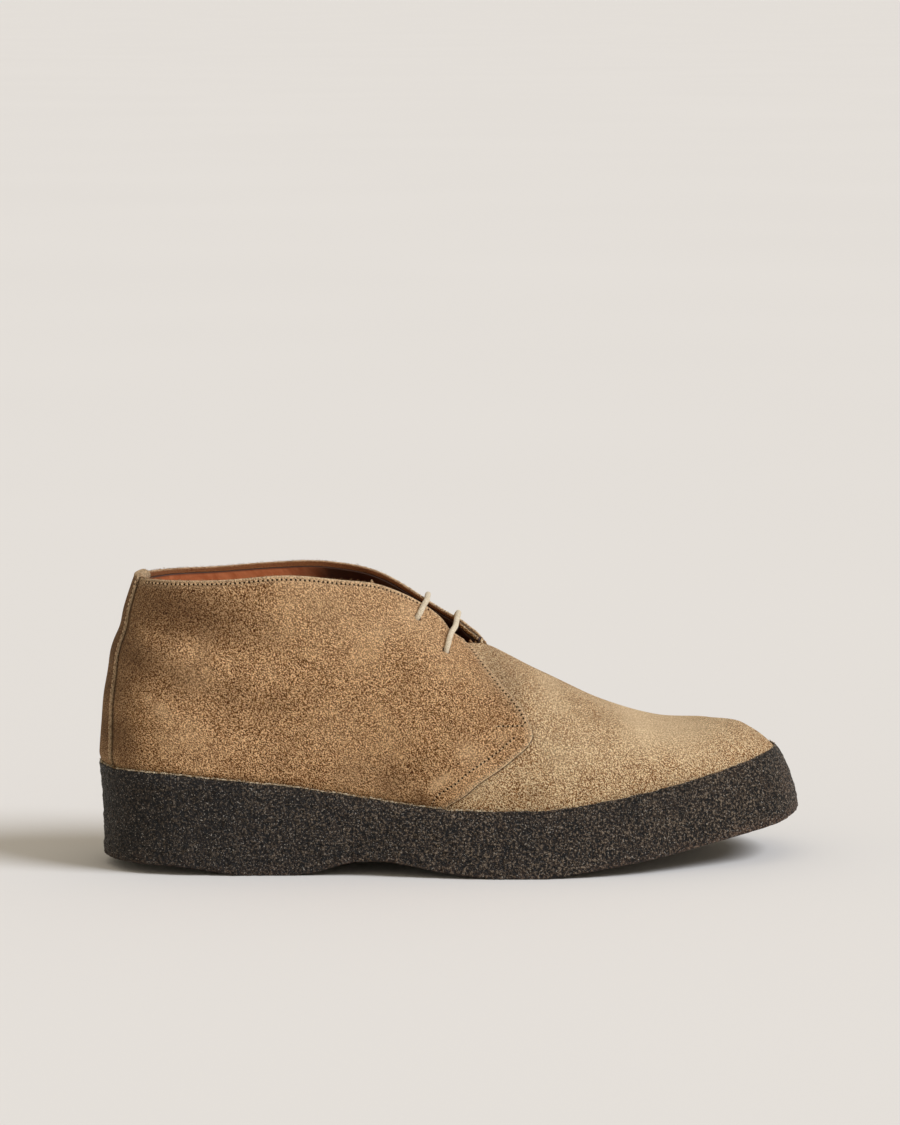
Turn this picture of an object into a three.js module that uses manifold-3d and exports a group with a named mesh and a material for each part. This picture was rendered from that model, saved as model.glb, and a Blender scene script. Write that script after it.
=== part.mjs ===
// A chukka boot for the right foot: a suede upper with two pairs of lace holes, on a thick crepe sole
// with a low heel, its edge wrapped in a strip of crepe.
// Millimetres. X runs from heel to toe, +Y is the inner side of the foot, Z is up from the floor.
import * as THREE from "three";
import { mergeVertices } from "three/addons/utils/BufferGeometryUtils.js";
import Module from "manifold-3d";

const wasm = await Module();
wasm.setup();

// Sizes of the last
const LAST_LENGTH = 293.8; // heel to toe, outside the suede at the sole's rim
const BALL_WIDTH = 100; // across the joints, outside the suede
const UPPER_HEIGHT = 82; // the back of the collar above the rim
// Sizes of the sole
const HEEL_RIM = 44.5; // the rim's height above the floor at the back of the heel
const FOREFOOT_RIM = 28.7; // the rim's height at the ball of the foot
const TOE_RISE = 18; // how much higher the rim is at the toe than at the ball
const TOE_SPRING = 19.8; // the tread's height under the tip of the toe
const HEEL_BEVEL = 4.2; // the tread's height at the back of the heel
const ARCH_RISE = 6.3; // the tread's height under the waist
const WRAP_THICKNESS = 3;
const WRAP_LIP = 4; // how far the wrap covers the foot of the upper
const WRAP_LIFT = 0.6; // the wrap's lower edge above the tread
const HEEL_FLARE = -2.8; // how far the sole's side stands out at the tread, against the rim
const BALL_FLARE = 2.2;
const TOE_FLARE = 7.2;
const HEEL_PIECE = 9; // the heel lift's thickness at the back
const HEEL_FRONT = 0.32; // where the heel lift runs out under the waist, as a share of LAST_LENGTH
// Sizes of the upper
const WALL = 2.4; // suede and lining
const SUEDE = 1.3; // the quarter's step over the vamp
const OVERLAP = 0.5; // how far the vamp runs on under the quarter, in stations
const STRIP_THICKNESS = 1.2;
const STRIP_TOP_WIDTH = 17;
const STRIP_FOOT_WIDTH = 32;
const STRIP_TUCK = 7; // how far the strip folds down inside the collar
const INSOLE_THICKNESS = 3;
const TONGUE_THICKNESS = 2.6;
const TONGUE_WIDTH = 0.34; // share of the wall's height that each wing of the tongue covers
const TONGUE_ROOT = 0.5; // where the tongue starts, in stations ahead of the throat
const TONGUE_TIP = 5.9; // the station where it ends
const TONGUE_DIP = 1.3; // how much deeper it lies in the middle, against its room at the sides
const TONGUE_ROOM = 2; // between the vamp and the tongue, once it has left its seam at the throat
const TONGUE_DROP = 1.6; // how many stations it takes to get there
// Sizes of the lace
const LACE_DIAMETER = 2.6;
const LACE_HOLE = 4.4;
const LACE_CREST = 0.2; // the lace's height over the throat
const GAP = 0.3; // between pieces that touch

// The sole seen from the side: along is the share of LAST_LENGTH from the back of the heel, and up the height
// of its underside.
const TREAD_LINE = [
  { along: -0.02, up: HEEL_BEVEL },
  { along: 0.03, up: HEEL_BEVEL },
  { along: 0.1, up: 0.85 * HEEL_BEVEL },
  { along: 0.15, up: 0.45 * HEEL_BEVEL },
  { along: 0.2, up: 0 },
  { along: 0.263, up: 0 },
  { along: 0.3, up: 0.17 * ARCH_RISE },
  { along: 0.332, up: 0.62 * ARCH_RISE },
  { along: 0.366, up: 0.96 * ARCH_RISE },
  { along: 0.4, up: ARCH_RISE },
  { along: 0.436, up: 0.8 * ARCH_RISE },
  { along: 0.475, up: 0.47 * ARCH_RISE },
  { along: 0.52, up: 0.2 * ARCH_RISE },
  { along: 0.57, up: 0 },
  { along: 0.632, up: 0 },
  { along: 0.69, up: 0.11 * TOE_SPRING },
  { along: 0.768, up: 0.27 * TOE_SPRING },
  { along: 0.841, up: 0.44 * TOE_SPRING },
  { along: 0.918, up: 0.65 * TOE_SPRING },
  { along: 1.0, up: 0.86 * TOE_SPRING },
  { along: 1.04, up: TOE_SPRING },
];

// The sole's side: rim is its top's height, flare how far it stands out at the tread, round its curve
const SOLE_SIDE = [
  { along: -0.02, rim: HEEL_RIM, flare: HEEL_FLARE, round: 5 },
  { along: 0.0, rim: HEEL_RIM, flare: HEEL_FLARE, round: 5 },
  { along: 0.07, rim: 0.992 * HEEL_RIM, flare: 0.8 * HEEL_FLARE, round: 4.6 },
  { along: 0.17, rim: 0.93 * HEEL_RIM, flare: 0.4 * HEEL_FLARE, round: 3.8 },
  { along: 0.28, rim: 0.85 * HEEL_RIM, flare: 0, round: 3 },
  { along: 0.38, rim: 0.75 * HEEL_RIM, flare: 0.5 * BALL_FLARE, round: 2.2 },
  { along: 0.45, rim: 0.688 * HEEL_RIM, flare: 0.8 * BALL_FLARE, round: 1.8 },
  { along: 0.52, rim: FOREFOOT_RIM, flare: BALL_FLARE, round: 1.8 },
  { along: 0.62, rim: FOREFOOT_RIM, flare: BALL_FLARE, round: 1.8 },
  { along: 0.71, rim: FOREFOOT_RIM + 0.16 * TOE_RISE, flare: 1.1 * BALL_FLARE, round: 1.8 },
  { along: 0.82, rim: FOREFOOT_RIM + 0.45 * TOE_RISE, flare: 0.38 * TOE_FLARE, round: 1.7 },
  { along: 0.92, rim: FOREFOOT_RIM + 0.74 * TOE_RISE, flare: 0.66 * TOE_FLARE, round: 1.6 },
  { along: 1.0, rim: FOREFOOT_RIM + TOE_RISE, flare: TOE_FLARE, round: 1.6 },
  { along: 1.04, rim: FOREFOOT_RIM + 1.1 * TOE_RISE, flare: TOE_FLARE, round: 1.6 },
];

// The upper, a row for each section from the back of the heel to the tip of the toe.
// The foot of the wall: foot is the share of LAST_LENGTH, outer and inner the shares of BALL_WIDTH.
// Its top, at the collar, the throat or the ridge of the vamp: top is the share of LAST_LENGTH, up the share
// of UPPER_HEIGHT above the rim, and mid and open the middle and the half opening as shares of BALL_WIDTH.
// lead is the share of LAST_LENGTH that the inner side is ahead of the outer one, and skew the share of
// UPPER_HEIGHT that it is higher.
// facing is the way that the wall faces seen from above, 180 at the heel and 0 at the toe.
// lean is its outward lean at the foot, fall its slope at the top, and low and high how full it is there.
const SECTIONS = [
  { name: "heel back", foot: 0, outer: 0, inner: 0, top: 0.054, up: 0.985,
    lead: 0, skew: 0, mid: 0, open: 0, facing: 180, lean: -3, fall: 70, low: 0.37, high: 0.37 },
  { name: "heel curve", foot: 0.023, outer: 0.195, inner: 0.195, top: 0.067, up: 0.992,
    lead: 0, skew: 0, mid: 0, open: 0.11, facing: 142, lean: -2, fall: 72, low: 0.35, high: 0.35 },
  { name: "heel side", foot: 0.08, outer: 0.302, inner: 0.3, top: 0.108, up: 1.008,
    lead: 0, skew: -0.004, mid: 0, open: 0.205, facing: 110, lean: 1, fall: 79, low: 0.3, high: 0.3 },
  { name: "heel seat", foot: 0.17, outer: 0.341, inner: 0.332, top: 0.18, up: 1.046,
    lead: 0, skew: -0.012, mid: 0, open: 0.26, facing: 95, lean: 2, fall: 83, low: 0.3, high: 0.3 },
  { name: "ankle", foot: 0.278, outer: 0.352, inner: 0.318, top: 0.262, up: 1.1,
    lead: 0, skew: -0.018, mid: 0, open: 0.28, facing: 90, lean: 2, fall: 84, low: 0.33, high: 0.33 },
  { name: "waist", foot: 0.38, outer: 0.382, inner: 0.297, top: 0.34, up: 1.109,
    lead: 0, skew: -0.004, mid: 0.005, open: 0.255, facing: 90, lean: 4, fall: 76, low: 0.34, high: 0.33 },
  { name: "facing top", foot: 0.466, outer: 0.436, inner: 0.315, top: 0.402, up: 1.098,
    lead: 0.012, skew: -0.011, mid: 0.01, open: 0.19, facing: 90, lean: 5, fall: 58, low: 0.35, high: 0.3 },
  { name: "facing", foot: 0.53, outer: 0.476, inner: 0.362, top: 0.467, up: 1.009,
    lead: 0.025, skew: -0.042, mid: 0.015, open: 0.12, facing: 90, lean: 5, fall: 40, low: 0.37, high: 0.28 },
  { name: "facing foot", foot: 0.582, outer: 0.496, inner: 0.412, top: 0.522, up: 0.867,
    lead: 0.028, skew: -0.015, mid: 0.02, open: 0.115, facing: 90, lean: 5, fall: 26, low: 0.39, high: 0.28 },
  { name: "throat lip", foot: 0.615, outer: 0.502, inner: 0.44, top: 0.549, up: 0.808,
    lead: 0.018, skew: -0.011, mid: 0.022, open: 0.08, facing: 90, lean: 5, fall: 13, low: 0.4, high: 0.3 },
  { name: "throat", foot: 0.65, outer: 0.503, inner: 0.466, top: 0.574, up: 0.777,
    lead: 0, skew: 0, mid: 0.025, open: 0, facing: 90, lean: 5, fall: 0, low: 0.41, high: 0.33 },
  { name: "joint", foot: 0.715, outer: 0.49, inner: 0.492, top: 0.655, up: 0.616,
    lead: 0, skew: 0, mid: 0.028, open: 0, facing: 88, lean: 5, fall: 0, low: 0.42, high: 0.37 },
  { name: "vamp", foot: 0.788, outer: 0.442, inner: 0.488, top: 0.737, up: 0.425,
    lead: 0, skew: 0, mid: 0.03, open: 0, facing: 82, lean: 3, fall: 0, low: 0.42, high: 0.42 },
  { name: "toe box", foot: 0.86, outer: 0.362, inner: 0.438, top: 0.819, up: 0.272,
    lead: 0, skew: 0, mid: 0.03, open: 0, facing: 72, lean: -2, fall: 0, low: 0.42, high: 0.45 },
  { name: "toe side", foot: 0.924, outer: 0.268, inner: 0.35, top: 0.887, up: 0.217,
    lead: 0, skew: 0, mid: 0.03, open: 0, facing: 56, lean: -12, fall: 0, low: 0.42, high: 0.45 },
  { name: "toe corner", foot: 0.977, outer: 0.15, inner: 0.222, top: 0.93, up: 0.185,
    lead: 0, skew: 0, mid: 0.027, open: 0, facing: 32, lean: -30, fall: 0, low: 0.4, high: 0.42 },
  { name: "toe tip", foot: 1, outer: -0.02, inner: 0.02, top: 0.953, up: 0.15,
    lead: 0, skew: 0, mid: 0.02, open: 0, facing: 0, lean: -45, fall: 0, low: 0.36, high: 0.36 },
];
const TOE = SECTIONS.length - 1;
const THROAT = SECTIONS.findIndex((row) => row.name === "throat");

// The quarter's front edge: at each share of the wall's height, the station that it crosses.
const QUARTER_EDGE = [
  { height: 0, station: 6.35 },
  { height: 0.1, station: 7.1 },
  { height: 0.2, station: 8.3 },
  { height: 0.3, station: 9.5 },
  { height: 0.36, station: 9.97 },
  { height: 0.42, station: 10.05 },
  { height: 0.55, station: 9.75 },
  { height: 0.7, station: 9.3 },
  { height: 0.85, station: 8.75 },
  { height: 1, station: 8.1 },
];

// Lace holes, the upper pair and the lower one: station and share of the wall's height. outer and inner are
// how far ahead of its hole, in stations, the lace crosses the edge on each side.
const LACE_HOLES = [
  { name: "upper", station: 6.8, height: 0.88, outer: 0.21, inner: 0 },
  { name: "lower", station: 7.35, height: 0.75, outer: 0.46, inner: 0.15 },
];

const SIDES = { outer: -1, inner: 1 };
const FACETS = { quarter: 20, lip: 3, vamp: 17, wall: 13, strip: 4, tongue: 11, hole: 12 };
const RUN_OUT = 0.04; // the share of the wall's height over which the quarter runs out at the rim
const HEEL_CROWDING = 1.25; // how much closer the columns stand at the heel
const TOE_CROWDING = 1.2;
const STRIP_START = 0.015; // share of the wall's height where the back strip starts, just above the rim
const TONGUE_WINGS = [1, 0.62, 0.28]; // shares of TONGUE_WIDTH at which each wing has a point
const DEGREE = Math.PI / 180;
const TINY = 1e-6;

const vec = (x, y, z) => new THREE.Vector3(x, y, z);
const mix = THREE.MathUtils.lerp;
const clamp = THREE.MathUtils.clamp;
const steps = (count) => Array.from({ length: count + 1 }, (_, i) => i / count);

// A smooth value between four neighbours, t of the way from b to c
function blend(a, b, c, d, t) {
  const turn = 2 * a - 5 * b + 4 * c - d;
  const lift = 3 * b - a - 3 * c + d;
  return b + 0.5 * t * (c - a + t * (turn + t * lift));
}

// A smooth value from a table whose rows stand at uneven places
function readTable(table, place, column, at) {
  const last = table.length - 1;
  let i = table.findIndex((row) => row[place] > at) - 1;
  if (i < 0) i = at < table[0][place] ? 0 : last - 1;
  const slope = (k) => {
    const before = table[Math.max(k - 1, 0)];
    const after = table[Math.min(k + 1, last)];
    const here = table[k];
    const back = here === before ? 0 : (here[column] - before[column]) / (here[place] - before[place]);
    const ahead = here === after ? 0 : (after[column] - here[column]) / (after[place] - here[place]);
    return back * ahead <= 0 ? 0 : (2 * back * ahead) / (back + ahead);
  };
  const width = table[i + 1][place] - table[i][place];
  const t = clamp((at - table[i][place]) / width, 0, 1);
  const rise = t * t * (3 - 2 * t);
  const start = t * (1 - t) * (1 - t) * width * slope(i);
  const end = t * t * (t - 1) * width * slope(i + 1);
  return mix(table[i][column], table[i + 1][column], rise) + start + end;
}

const soleSideValue = (column, x) => readTable(SOLE_SIDE, "along", column, x / LAST_LENGTH);
const rimHeight = (x) => soleSideValue("rim", x);
const treadHeight = (x) => readTable(TREAD_LINE, "along", "up", x / LAST_LENGTH);

// A value of SECTIONS at a station. Past the heel or the toe it goes on with the other side's rows.
function sectionValue(read, station) {
  const i = Math.min(Math.floor(station), TOE - 1);
  const value = (k) => {
    if (k < 0) return read(SECTIONS[-k], "heel");
    return k > TOE ? read(SECTIONS[2 * TOE - k], "toe") : read(SECTIONS[k], null);
  };
  return blend(value(i - 1), value(i), value(i + 1), value(i + 2), station - i);
}
const column = (name, station) => sectionValue((row) => row[name], station);
const openHalf = (station) =>
  station > THROAT - TINY ? 0 : sectionValue((row, past) => (past ? -1 : 1) * row.open, station);
const facingAt = (station) => {
  const turn = { heel: 360, toe: 0 };
  return sectionValue((row, past) => (past ? turn[past] - row.facing : row.facing), station) * DEGREE;
};

// The foot of the wall, on the rim
function footPoint(side, station) {
  const x = column("foot", station) * LAST_LENGTH;
  const across = (row, past) => ((side === "outer") !== Boolean(past) ? -row.outer : row.inner);
  return vec(x, sectionValue(across, station) * BALL_WIDTH, rimHeight(x));
}

// The top of the wall, on the collar, the throat or the ridge
function topPoint(side, station) {
  const y = (column("mid", station) + SIDES[side] * openHalf(station)) * BALL_WIDTH;
  const split = side === "inner" && station < THROAT - TINY;
  const x = (column("top", station) + (split ? column("lead", station) : 0)) * LAST_LENGTH;
  const up = column("up", station) + (split ? column("skew", station) : 0);
  return vec(x, y, rimHeight(x) + up * UPPER_HEIGHT);
}

// How steeply the ridge falls towards the toe
function ridgeSlope(station) {
  const [a, b] = [station - 0.01, Math.min(station + 0.01, TOE)].map((s) => topPoint("inner", s));
  return (b.z - a.z) / (b.x - a.x);
}

// The outside of the last: a point on the wall, at a share of its height
function lastPoint(side, station, height) {
  const foot = footPoint(side, station);
  const top = topPoint(side, station);
  const facing = facingAt(station);
  const lean = column("lean", station) * DEGREE;
  const fall = station > THROAT - TINY ? 0 : column("fall", station) * DEGREE;
  const out = vec(Math.cos(facing), SIDES[side] * Math.sin(facing), 0);
  const size = foot.distanceTo(top);
  const low = out.clone().multiplyScalar(Math.sin(lean)).setZ(Math.cos(lean));
  const along = out.clone();
  if (facing < Math.PI / 2) along.setZ(Math.cos(facing) * ridgeSlope(station)).normalize();
  const high = along.multiplyScalar(Math.cos(fall)).add(vec(0, 0, -Math.sin(fall)));
  const lowGrip = low.multiplyScalar(size * column("low", station)).add(foot);
  const highGrip = high.multiplyScalar(size * column("high", station)).add(top);
  return new THREE.CubicBezierCurve3(foot, lowGrip, highGrip, top).getPoint(height);
}

// The outward normal of the last
function lastNormal(side, station, height) {
  const step = 0.01;
  if (height === 1 && station > THROAT - TINY) {
    const slope = ridgeSlope(Math.min(station, TOE - step));
    return vec(-slope, 0, 1).normalize();
  }
  const [s0, s1] = [Math.max(station - step, 0), Math.min(station + step, TOE)];
  const [h0, h1] = [Math.max(height - step, 0), Math.min(height + step, 1)];
  const round = lastPoint(side, s1, height).sub(lastPoint(side, s0, height));
  const rise = lastPoint(side, station, h1).sub(lastPoint(side, station, h0));
  const normal = round.cross(rise).multiplyScalar(-SIDES[side]);
  if (station === 0 || station === TOE) normal.y = 0;
  return normal.normalize();
}

// A point of the upper, offset outwards from the last. A height below 0 is on the skirt inside the wrap.
function upperPoint(side, station, height, offset) {
  if (height < 0) return soleSide(side, station, offset, (tread, rim) => rim + height * WRAP_LIP);
  const normal = lastNormal(side, station, height);
  if (height === 0) normal.setZ(0).normalize();
  return lastPoint(side, station, height).addScaledVector(normal, offset);
}

// A geometry from loose triangles, with its shared points merged and its empty triangles dropped
function solidFrom(points) {
  const flat = new Float32Array(points.flatMap((p) => [p.x, p.y, p.z]));
  const loose = new THREE.BufferGeometry().setAttribute("position", new THREE.BufferAttribute(flat, 3));
  const merged = mergeVertices(loose, 1e-3);
  const index = [];
  const old = merged.index.array;
  for (let i = 0; i < old.length; i += 3) {
    const [a, b, c] = old.slice(i, i + 3);
    if (a !== b && b !== c && c !== a) index.push(a, b, c);
  }
  const triVerts = new Uint32Array(index);
  const make = () => new wasm.Manifold(
    new wasm.Mesh({ numProp: 3, vertProperties: merged.attributes.position.array, triVerts }),
  );
  const made = make();
  if (made.volume() > 0) return made;
  triVerts.reverse();
  return make();
}

// Two triangles over four corners, split along the shorter way across
const quad = (a, b, c, d) =>
  a.distanceTo(c) < b.distanceTo(d) ? [a, b, c, a, c, d] : [a, b, d, b, c, d];

// The triangles of a sheet of points, row by row
function sheet(rows) {
  const made = [];
  for (let i = 0; i + 1 < rows.length; i++)
    for (let j = 0; j + 1 < rows[i].length; j++)
      made.push(...quad(rows[i][j], rows[i + 1][j], rows[i + 1][j + 1], rows[i][j + 1]));
  return made;
}
const turned = (triangles) => {
  const made = [];
  for (let i = 0; i < triangles.length; i += 3) made.push(triangles[i], triangles[i + 2], triangles[i + 1]);
  return made;
};

// A closed solid between two sheets of the same size that lie apart all round their edges
function plate(front, back) {
  const rim = (pick) => sheet([pick(front), pick(back)]);
  const last = front.length - 1;
  const end = front[0].length - 1;
  return solidFrom([
    ...sheet(front),
    ...turned(sheet(back)),
    ...rim((rows) => rows.map((row) => row[0])),
    ...turned(rim((rows) => rows.map((row) => row[end]))),
    ...turned(rim((rows) => rows[0])),
    ...rim((rows) => rows[last]),
  ]);
}

function meshOf(name, solid, material) {
  const { vertProperties, triVerts, numProp } = solid.getMesh();
  const position = new Float32Array((vertProperties.length / numProp) * 3);
  for (let i = 0; i < position.length / 3; i++)
    position.set(vertProperties.subarray(i * numProp, i * numProp + 3), i * 3);
  const geometry = new THREE.BufferGeometry()
    .setAttribute("position", new THREE.BufferAttribute(position, 3))
    .setIndex(new THREE.BufferAttribute(triVerts, 1));
  geometry.computeVertexNormals();
  const mesh = new THREE.Mesh(geometry, material);
  mesh.name = name;
  return mesh;
}

// The upper's columns from heel to toe. share runs from 0 at the heel to 1 at the quarter's edge in the
// quarter, and on from there to the toe in the vamp, so that one column lies along the edge.
const edgeStation = (height) => readTable(QUARTER_EDGE, "height", "station", Math.max(height, 0));
const edgeAtTop = edgeStation(1);
const lipShare = (THROAT - edgeAtTop) / (TOE - edgeAtTop);
const quarterColumn = (share, worn) => ({ worn, station: (height) => share * edgeStation(height) });
const vampColumn = (share) => ({ worn: 0, station: (height) => mix(edgeStation(height), TOE, share) });
const COLUMNS = [
  ...steps(FACETS.quarter).map((t) => quarterColumn(t ** HEEL_CROWDING, 1)),
  ...steps(FACETS.lip).map((t) => vampColumn(t * lipShare)),
  ...steps(FACETS.vamp).slice(1).map((t) => vampColumn(mix(lipShare, 1, 1 - (1 - t) ** TOE_CROWDING))),
];
const LIP_COLUMN = FACETS.quarter + 1 + FACETS.lip;
const HEIGHTS = [-1, ...steps(FACETS.wall)];
const FOOT_STATIONS = [...new Set(COLUMNS.map((c) => c.station(0)))];

// The quarter stands a suede's thickness over the vamp, and runs out at the rim. Its lining follows, but
// stays under the vamp where the two overlap.
function outerOffset(part, height) {
  return part.worn * SUEDE * clamp(height / RUN_OUT, 0, 1);
}
function innerOffset(part, height) {
  const behind = edgeStation(height) - part.station(height);
  const back = part.worn * clamp((behind - OVERLAP) / OVERLAP, 0, 1);
  return outerOffset(part, height) * back - WALL;
}

function makeUpper() {
  const skin = (side, offset) =>
    COLUMNS.map((c) => HEIGHTS.map((h) => upperPoint(side, c.station(h), h, offset(c, h))));
  const made = [];
  for (const side of ["outer", "inner"]) {
    const outside = skin(side, outerOffset);
    const inside = skin(side, innerOffset);
    const topEdge = (rows) => rows.slice(0, LIP_COLUMN + 1).map((row) => row.at(-1));
    const footEdge = (rows) => rows.map((row) => row[0]);
    const wall = [
      ...sheet(outside),
      ...turned(sheet(inside)),
      ...turned(sheet([topEdge(outside), topEdge(inside)])),
      ...sheet([footEdge(outside), footEdge(inside)]),
    ];
    made.push(...(side === "outer" ? wall : turned(wall)));
  }
  return LACE_HOLES.reduce((solid, hole) => {
    for (const side of ["outer", "inner"]) solid = solid.subtract(drill(side, hole));
    return solid;
  }, solidFrom(made));
}

// A round cutter through the wall at a lace hole
function drill(side, { station, height }) {
  const geometry = new THREE.CylinderGeometry(LACE_HOLE / 2, LACE_HOLE / 2, 6 * WALL, FACETS.hole);
  const normal = lastNormal(side, station, height);
  geometry.applyQuaternion(new THREE.Quaternion().setFromUnitVectors(vec(0, 1, 0), normal));
  const at = lastPoint(side, station, height);
  geometry.translate(at.x, at.y, at.z);
  return solidOf(geometry);
}

function solidOf(geometry) {
  const g = geometry.index ? geometry.toNonIndexed() : geometry;
  const at = g.getAttribute("position");
  return solidFrom(Array.from({ length: at.count }, (_, i) => vec(at.getX(i), at.getY(i), at.getZ(i))));
}

// The sole's side: a point at a station, offset outwards from the upper's foot. heightOf turns the heights of
// the tread and the rim there into the point's own.
function soleSide(side, station, offset, heightOf) {
  const step = 0.01;
  const [a, b] = [Math.max(station - step, 0), Math.min(station + step, TOE)].map((s) => footPoint(side, s));
  const along = b.sub(a).setZ(0).normalize();
  const out = vec(along.y, -along.x, 0).multiplyScalar(-SIDES[side]);
  if (station === 0 || station === TOE) out.setY(0).normalize();
  const foot = footPoint(side, station);
  const flare = soleSideValue("flare", foot.x);
  const tread = treadHeight(foot.x + out.x * (offset + flare));
  const z = heightOf(tread, foot.z);
  const rise = clamp((z - tread) / (foot.z - tread), 0, 1);
  const spread = flare * (1 - rise ** soleSideValue("round", foot.x));
  return foot.addScaledVector(out, offset + spread).setZ(z);
}

// A closed solid from a ring of columns on both sides, with its top and underside closed across
function block(point, levels, across, topHeight, bottomHeight) {
  const rows = steps(levels);
  const made = [];
  for (const side of ["outer", "inner"]) {
    const wall = sheet(FOOT_STATIONS.map((s) => rows.map((h) => point(side, s, h))));
    made.push(...(side === "outer" ? wall : turned(wall)));
  }
  const span = (level, height) => FOOT_STATIONS.map((s) => {
    const [a, b] = ["outer", "inner"].map((side) => point(side, s, level));
    return steps(across).map((t) => {
      const p = a.clone().lerp(b, t);
      return t === 0 || t === 1 ? p : p.setZ(height(p.x));
    });
  });
  made.push(...sheet(span(1, topHeight)), ...turned(sheet(span(0, bottomHeight))));
  return solidFrom(made);
}

// The crepe sole and heel together, inside the wrap
function makeCore() {
  const below = -WRAP_LIP - 2 * GAP;
  const point = (side, s, h) => soleSide(side, s, 0, (tread, rim) => mix(tread, rim + below, h));
  return block(point, 4, 4, (x) => rimHeight(x) + below, treadHeight);
}

// The heel lift's outline from the side: everything under a line that meets the waist
function heelCutter(spare) {
  const [back, front, under] = [-HEEL_RIM, HEEL_FRONT * LAST_LENGTH, -HEEL_RIM];
  const top = HEEL_BEVEL + HEEL_PIECE + spare;
  const shape = new THREE.Shape([
    new THREE.Vector2(back, under),
    new THREE.Vector2(front, under),
    new THREE.Vector2(front, treadHeight(front) + spare),
    new THREE.Vector2(0, top),
    new THREE.Vector2(back, top),
  ]);
  const geometry = new THREE.ExtrudeGeometry(shape, { depth: 2 * BALL_WIDTH, bevelEnabled: false });
  geometry.translate(0, 0, -BALL_WIDTH).rotateX(Math.PI / 2);
  return solidOf(geometry);
}

function makeWrap() {
  const rows = steps(4);
  const made = [];
  const walls = (side, offset) => FOOT_STATIONS.map((s) =>
    rows.map((h) => soleSide(side, s, offset, (tread, rim) => mix(tread + WRAP_LIFT, rim, h))));
  for (const side of ["outer", "inner"]) {
    const outside = walls(side, GAP + WRAP_THICKNESS);
    const inside = walls(side, GAP);
    const edge = (sheetRows, j) => sheetRows.map((row) => row.at(j));
    const ring = [
      ...sheet(outside),
      ...turned(sheet(inside)),
      ...turned(sheet([edge(outside, -1), edge(inside, -1)])),
      ...sheet([edge(outside, 0), edge(inside, 0)]),
    ];
    made.push(...(side === "outer" ? ring : turned(ring)));
  }
  return solidFrom(made);
}

function makeInsole() {
  const level = (h) => h * INSOLE_THICKNESS - WRAP_LIP;
  const point = (side, s, h) => {
    const p = soleSide(side, s, -WALL - 2 * GAP, (tread, rim) => rim + level(h));
    return p.setZ(rimHeight(p.x) + level(h));
  };
  return block(point, 1, 4, (x) => rimHeight(x) + level(1), (x) => rimHeight(x) + level(0));
}

// The strip down the back seam, folded over the collar
function makeStrip() {
  const tuck = STRIP_TUCK / UPPER_HEIGHT;
  const path = [
    ...[STRIP_START, ...steps(FACETS.wall).slice(1)].map((h) => ({ height: h, over: 0 })),
    ...[0.25, 0.5, 0.75].map((t) => ({ height: 1, over: t })),
    ...[0, 0.35, 1].map((t) => ({ height: 1 - t * tuck, over: 1 })),
  ];
  const sheetAt = (lift) => path.map(({ height, over }) =>
    steps(2 * FACETS.strip).map((t) => {
      const across = 2 * t - 1;
      const width = mix(STRIP_FOOT_WIDTH, STRIP_TOP_WIDTH, over ? 1 : height) / 2;
      const station = Math.abs(across) * stationAt(width, height);
      const side = across < 0 ? "outer" : "inner";
      const outside = upperPoint(side, station, height, outerOffset(COLUMNS[0], height) + lift);
      const inside = upperPoint(side, station, height, innerOffset(COLUMNS[0], height) - lift);
      if (over === 0) return outside;
      if (over === 1) return inside;
      const turn = Math.PI * over;
      const middle = outside.clone().add(inside).multiplyScalar(0.5);
      const reach = outside.clone().sub(middle).multiplyScalar(Math.cos(turn));
      return middle.add(reach).add(vec(0, 0, lift * Math.sqrt(Math.sin(turn))));
    }));
  return plate(sheetAt(GAP + STRIP_THICKNESS), sheetAt(GAP));
}

// The station at a distance round the back from its middle
function stationAt(distance, height) {
  const step = 0.05;
  let station = 0;
  let run = 0;
  let here = lastPoint("outer", 0, height);
  while (run < distance) {
    const next = lastPoint("outer", station + step, height);
    const length = next.distanceTo(here);
    if (run + length >= distance) return station + (step * (distance - run)) / length;
    run += length;
    station += step;
    here = next;
  }
  return station;
}

// The tongue, under the facings from the throat to the collar
function makeTongue() {
  const stations = steps(FACETS.tongue).map((t) => mix(THROAT + TONGUE_ROOT, TONGUE_TIP, t));
  const rowAt = (station, depth) => {
    const away = THREE.MathUtils.smoothstep(THROAT + TONGUE_ROOT - station, 0, TONGUE_DROP);
    const under = WALL + mix(GAP, TONGUE_ROOM, away) + depth;
    const wing = (side) =>
      TONGUE_WINGS.map((t) => upperPoint(side, station, 1 - t * TONGUE_WIDTH, -under));
    const crest = topPoint("outer", station).lerp(topPoint("inner", station), 0.5);
    crest.z -= TONGUE_DIP * under;
    const across = new THREE.CatmullRomCurve3([...wing("outer"), crest, ...wing("inner").reverse()]);
    return across.getPoints(FACETS.tongue + 1);
  };
  const skin = (depth) => stations.map((s) => rowAt(s, depth));
  return plate(skin(0), skin(TONGUE_THICKNESS));
}

// A lace's bar across the throat, from one hole to the other
function makeLaceBar(hole) {
  const radius = LACE_DIAMETER / 2;
  const over = SUEDE + radius + GAP;
  const at = (side, share, offset) =>
    upperPoint(side, hole.station + share * hole[side], mix(hole.height, 1, share), offset);
  const half = (side) =>
    [at(side, 0, 0), at(side, 0.04, over - GAP), at(side, 0.4, over + GAP), at(side, 1, over + GAP)];
  const [outer, inner] = [half("outer"), half("inner").reverse()];
  const crest = outer.at(-1).clone().lerp(inner[0], 0.5).add(vec(0, 0, LACE_CREST));
  const path = new THREE.CatmullRomCurve3([...outer, crest, ...inner], false, "centripetal");
  const round = new THREE.Shape().absarc(0, 0, radius, 0, 2 * Math.PI);
  const sweep = { steps: 20, extrudePath: path, curveSegments: 5, bevelEnabled: false };
  return solidOf(new THREE.ExtrudeGeometry(round, sweep));
}

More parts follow.
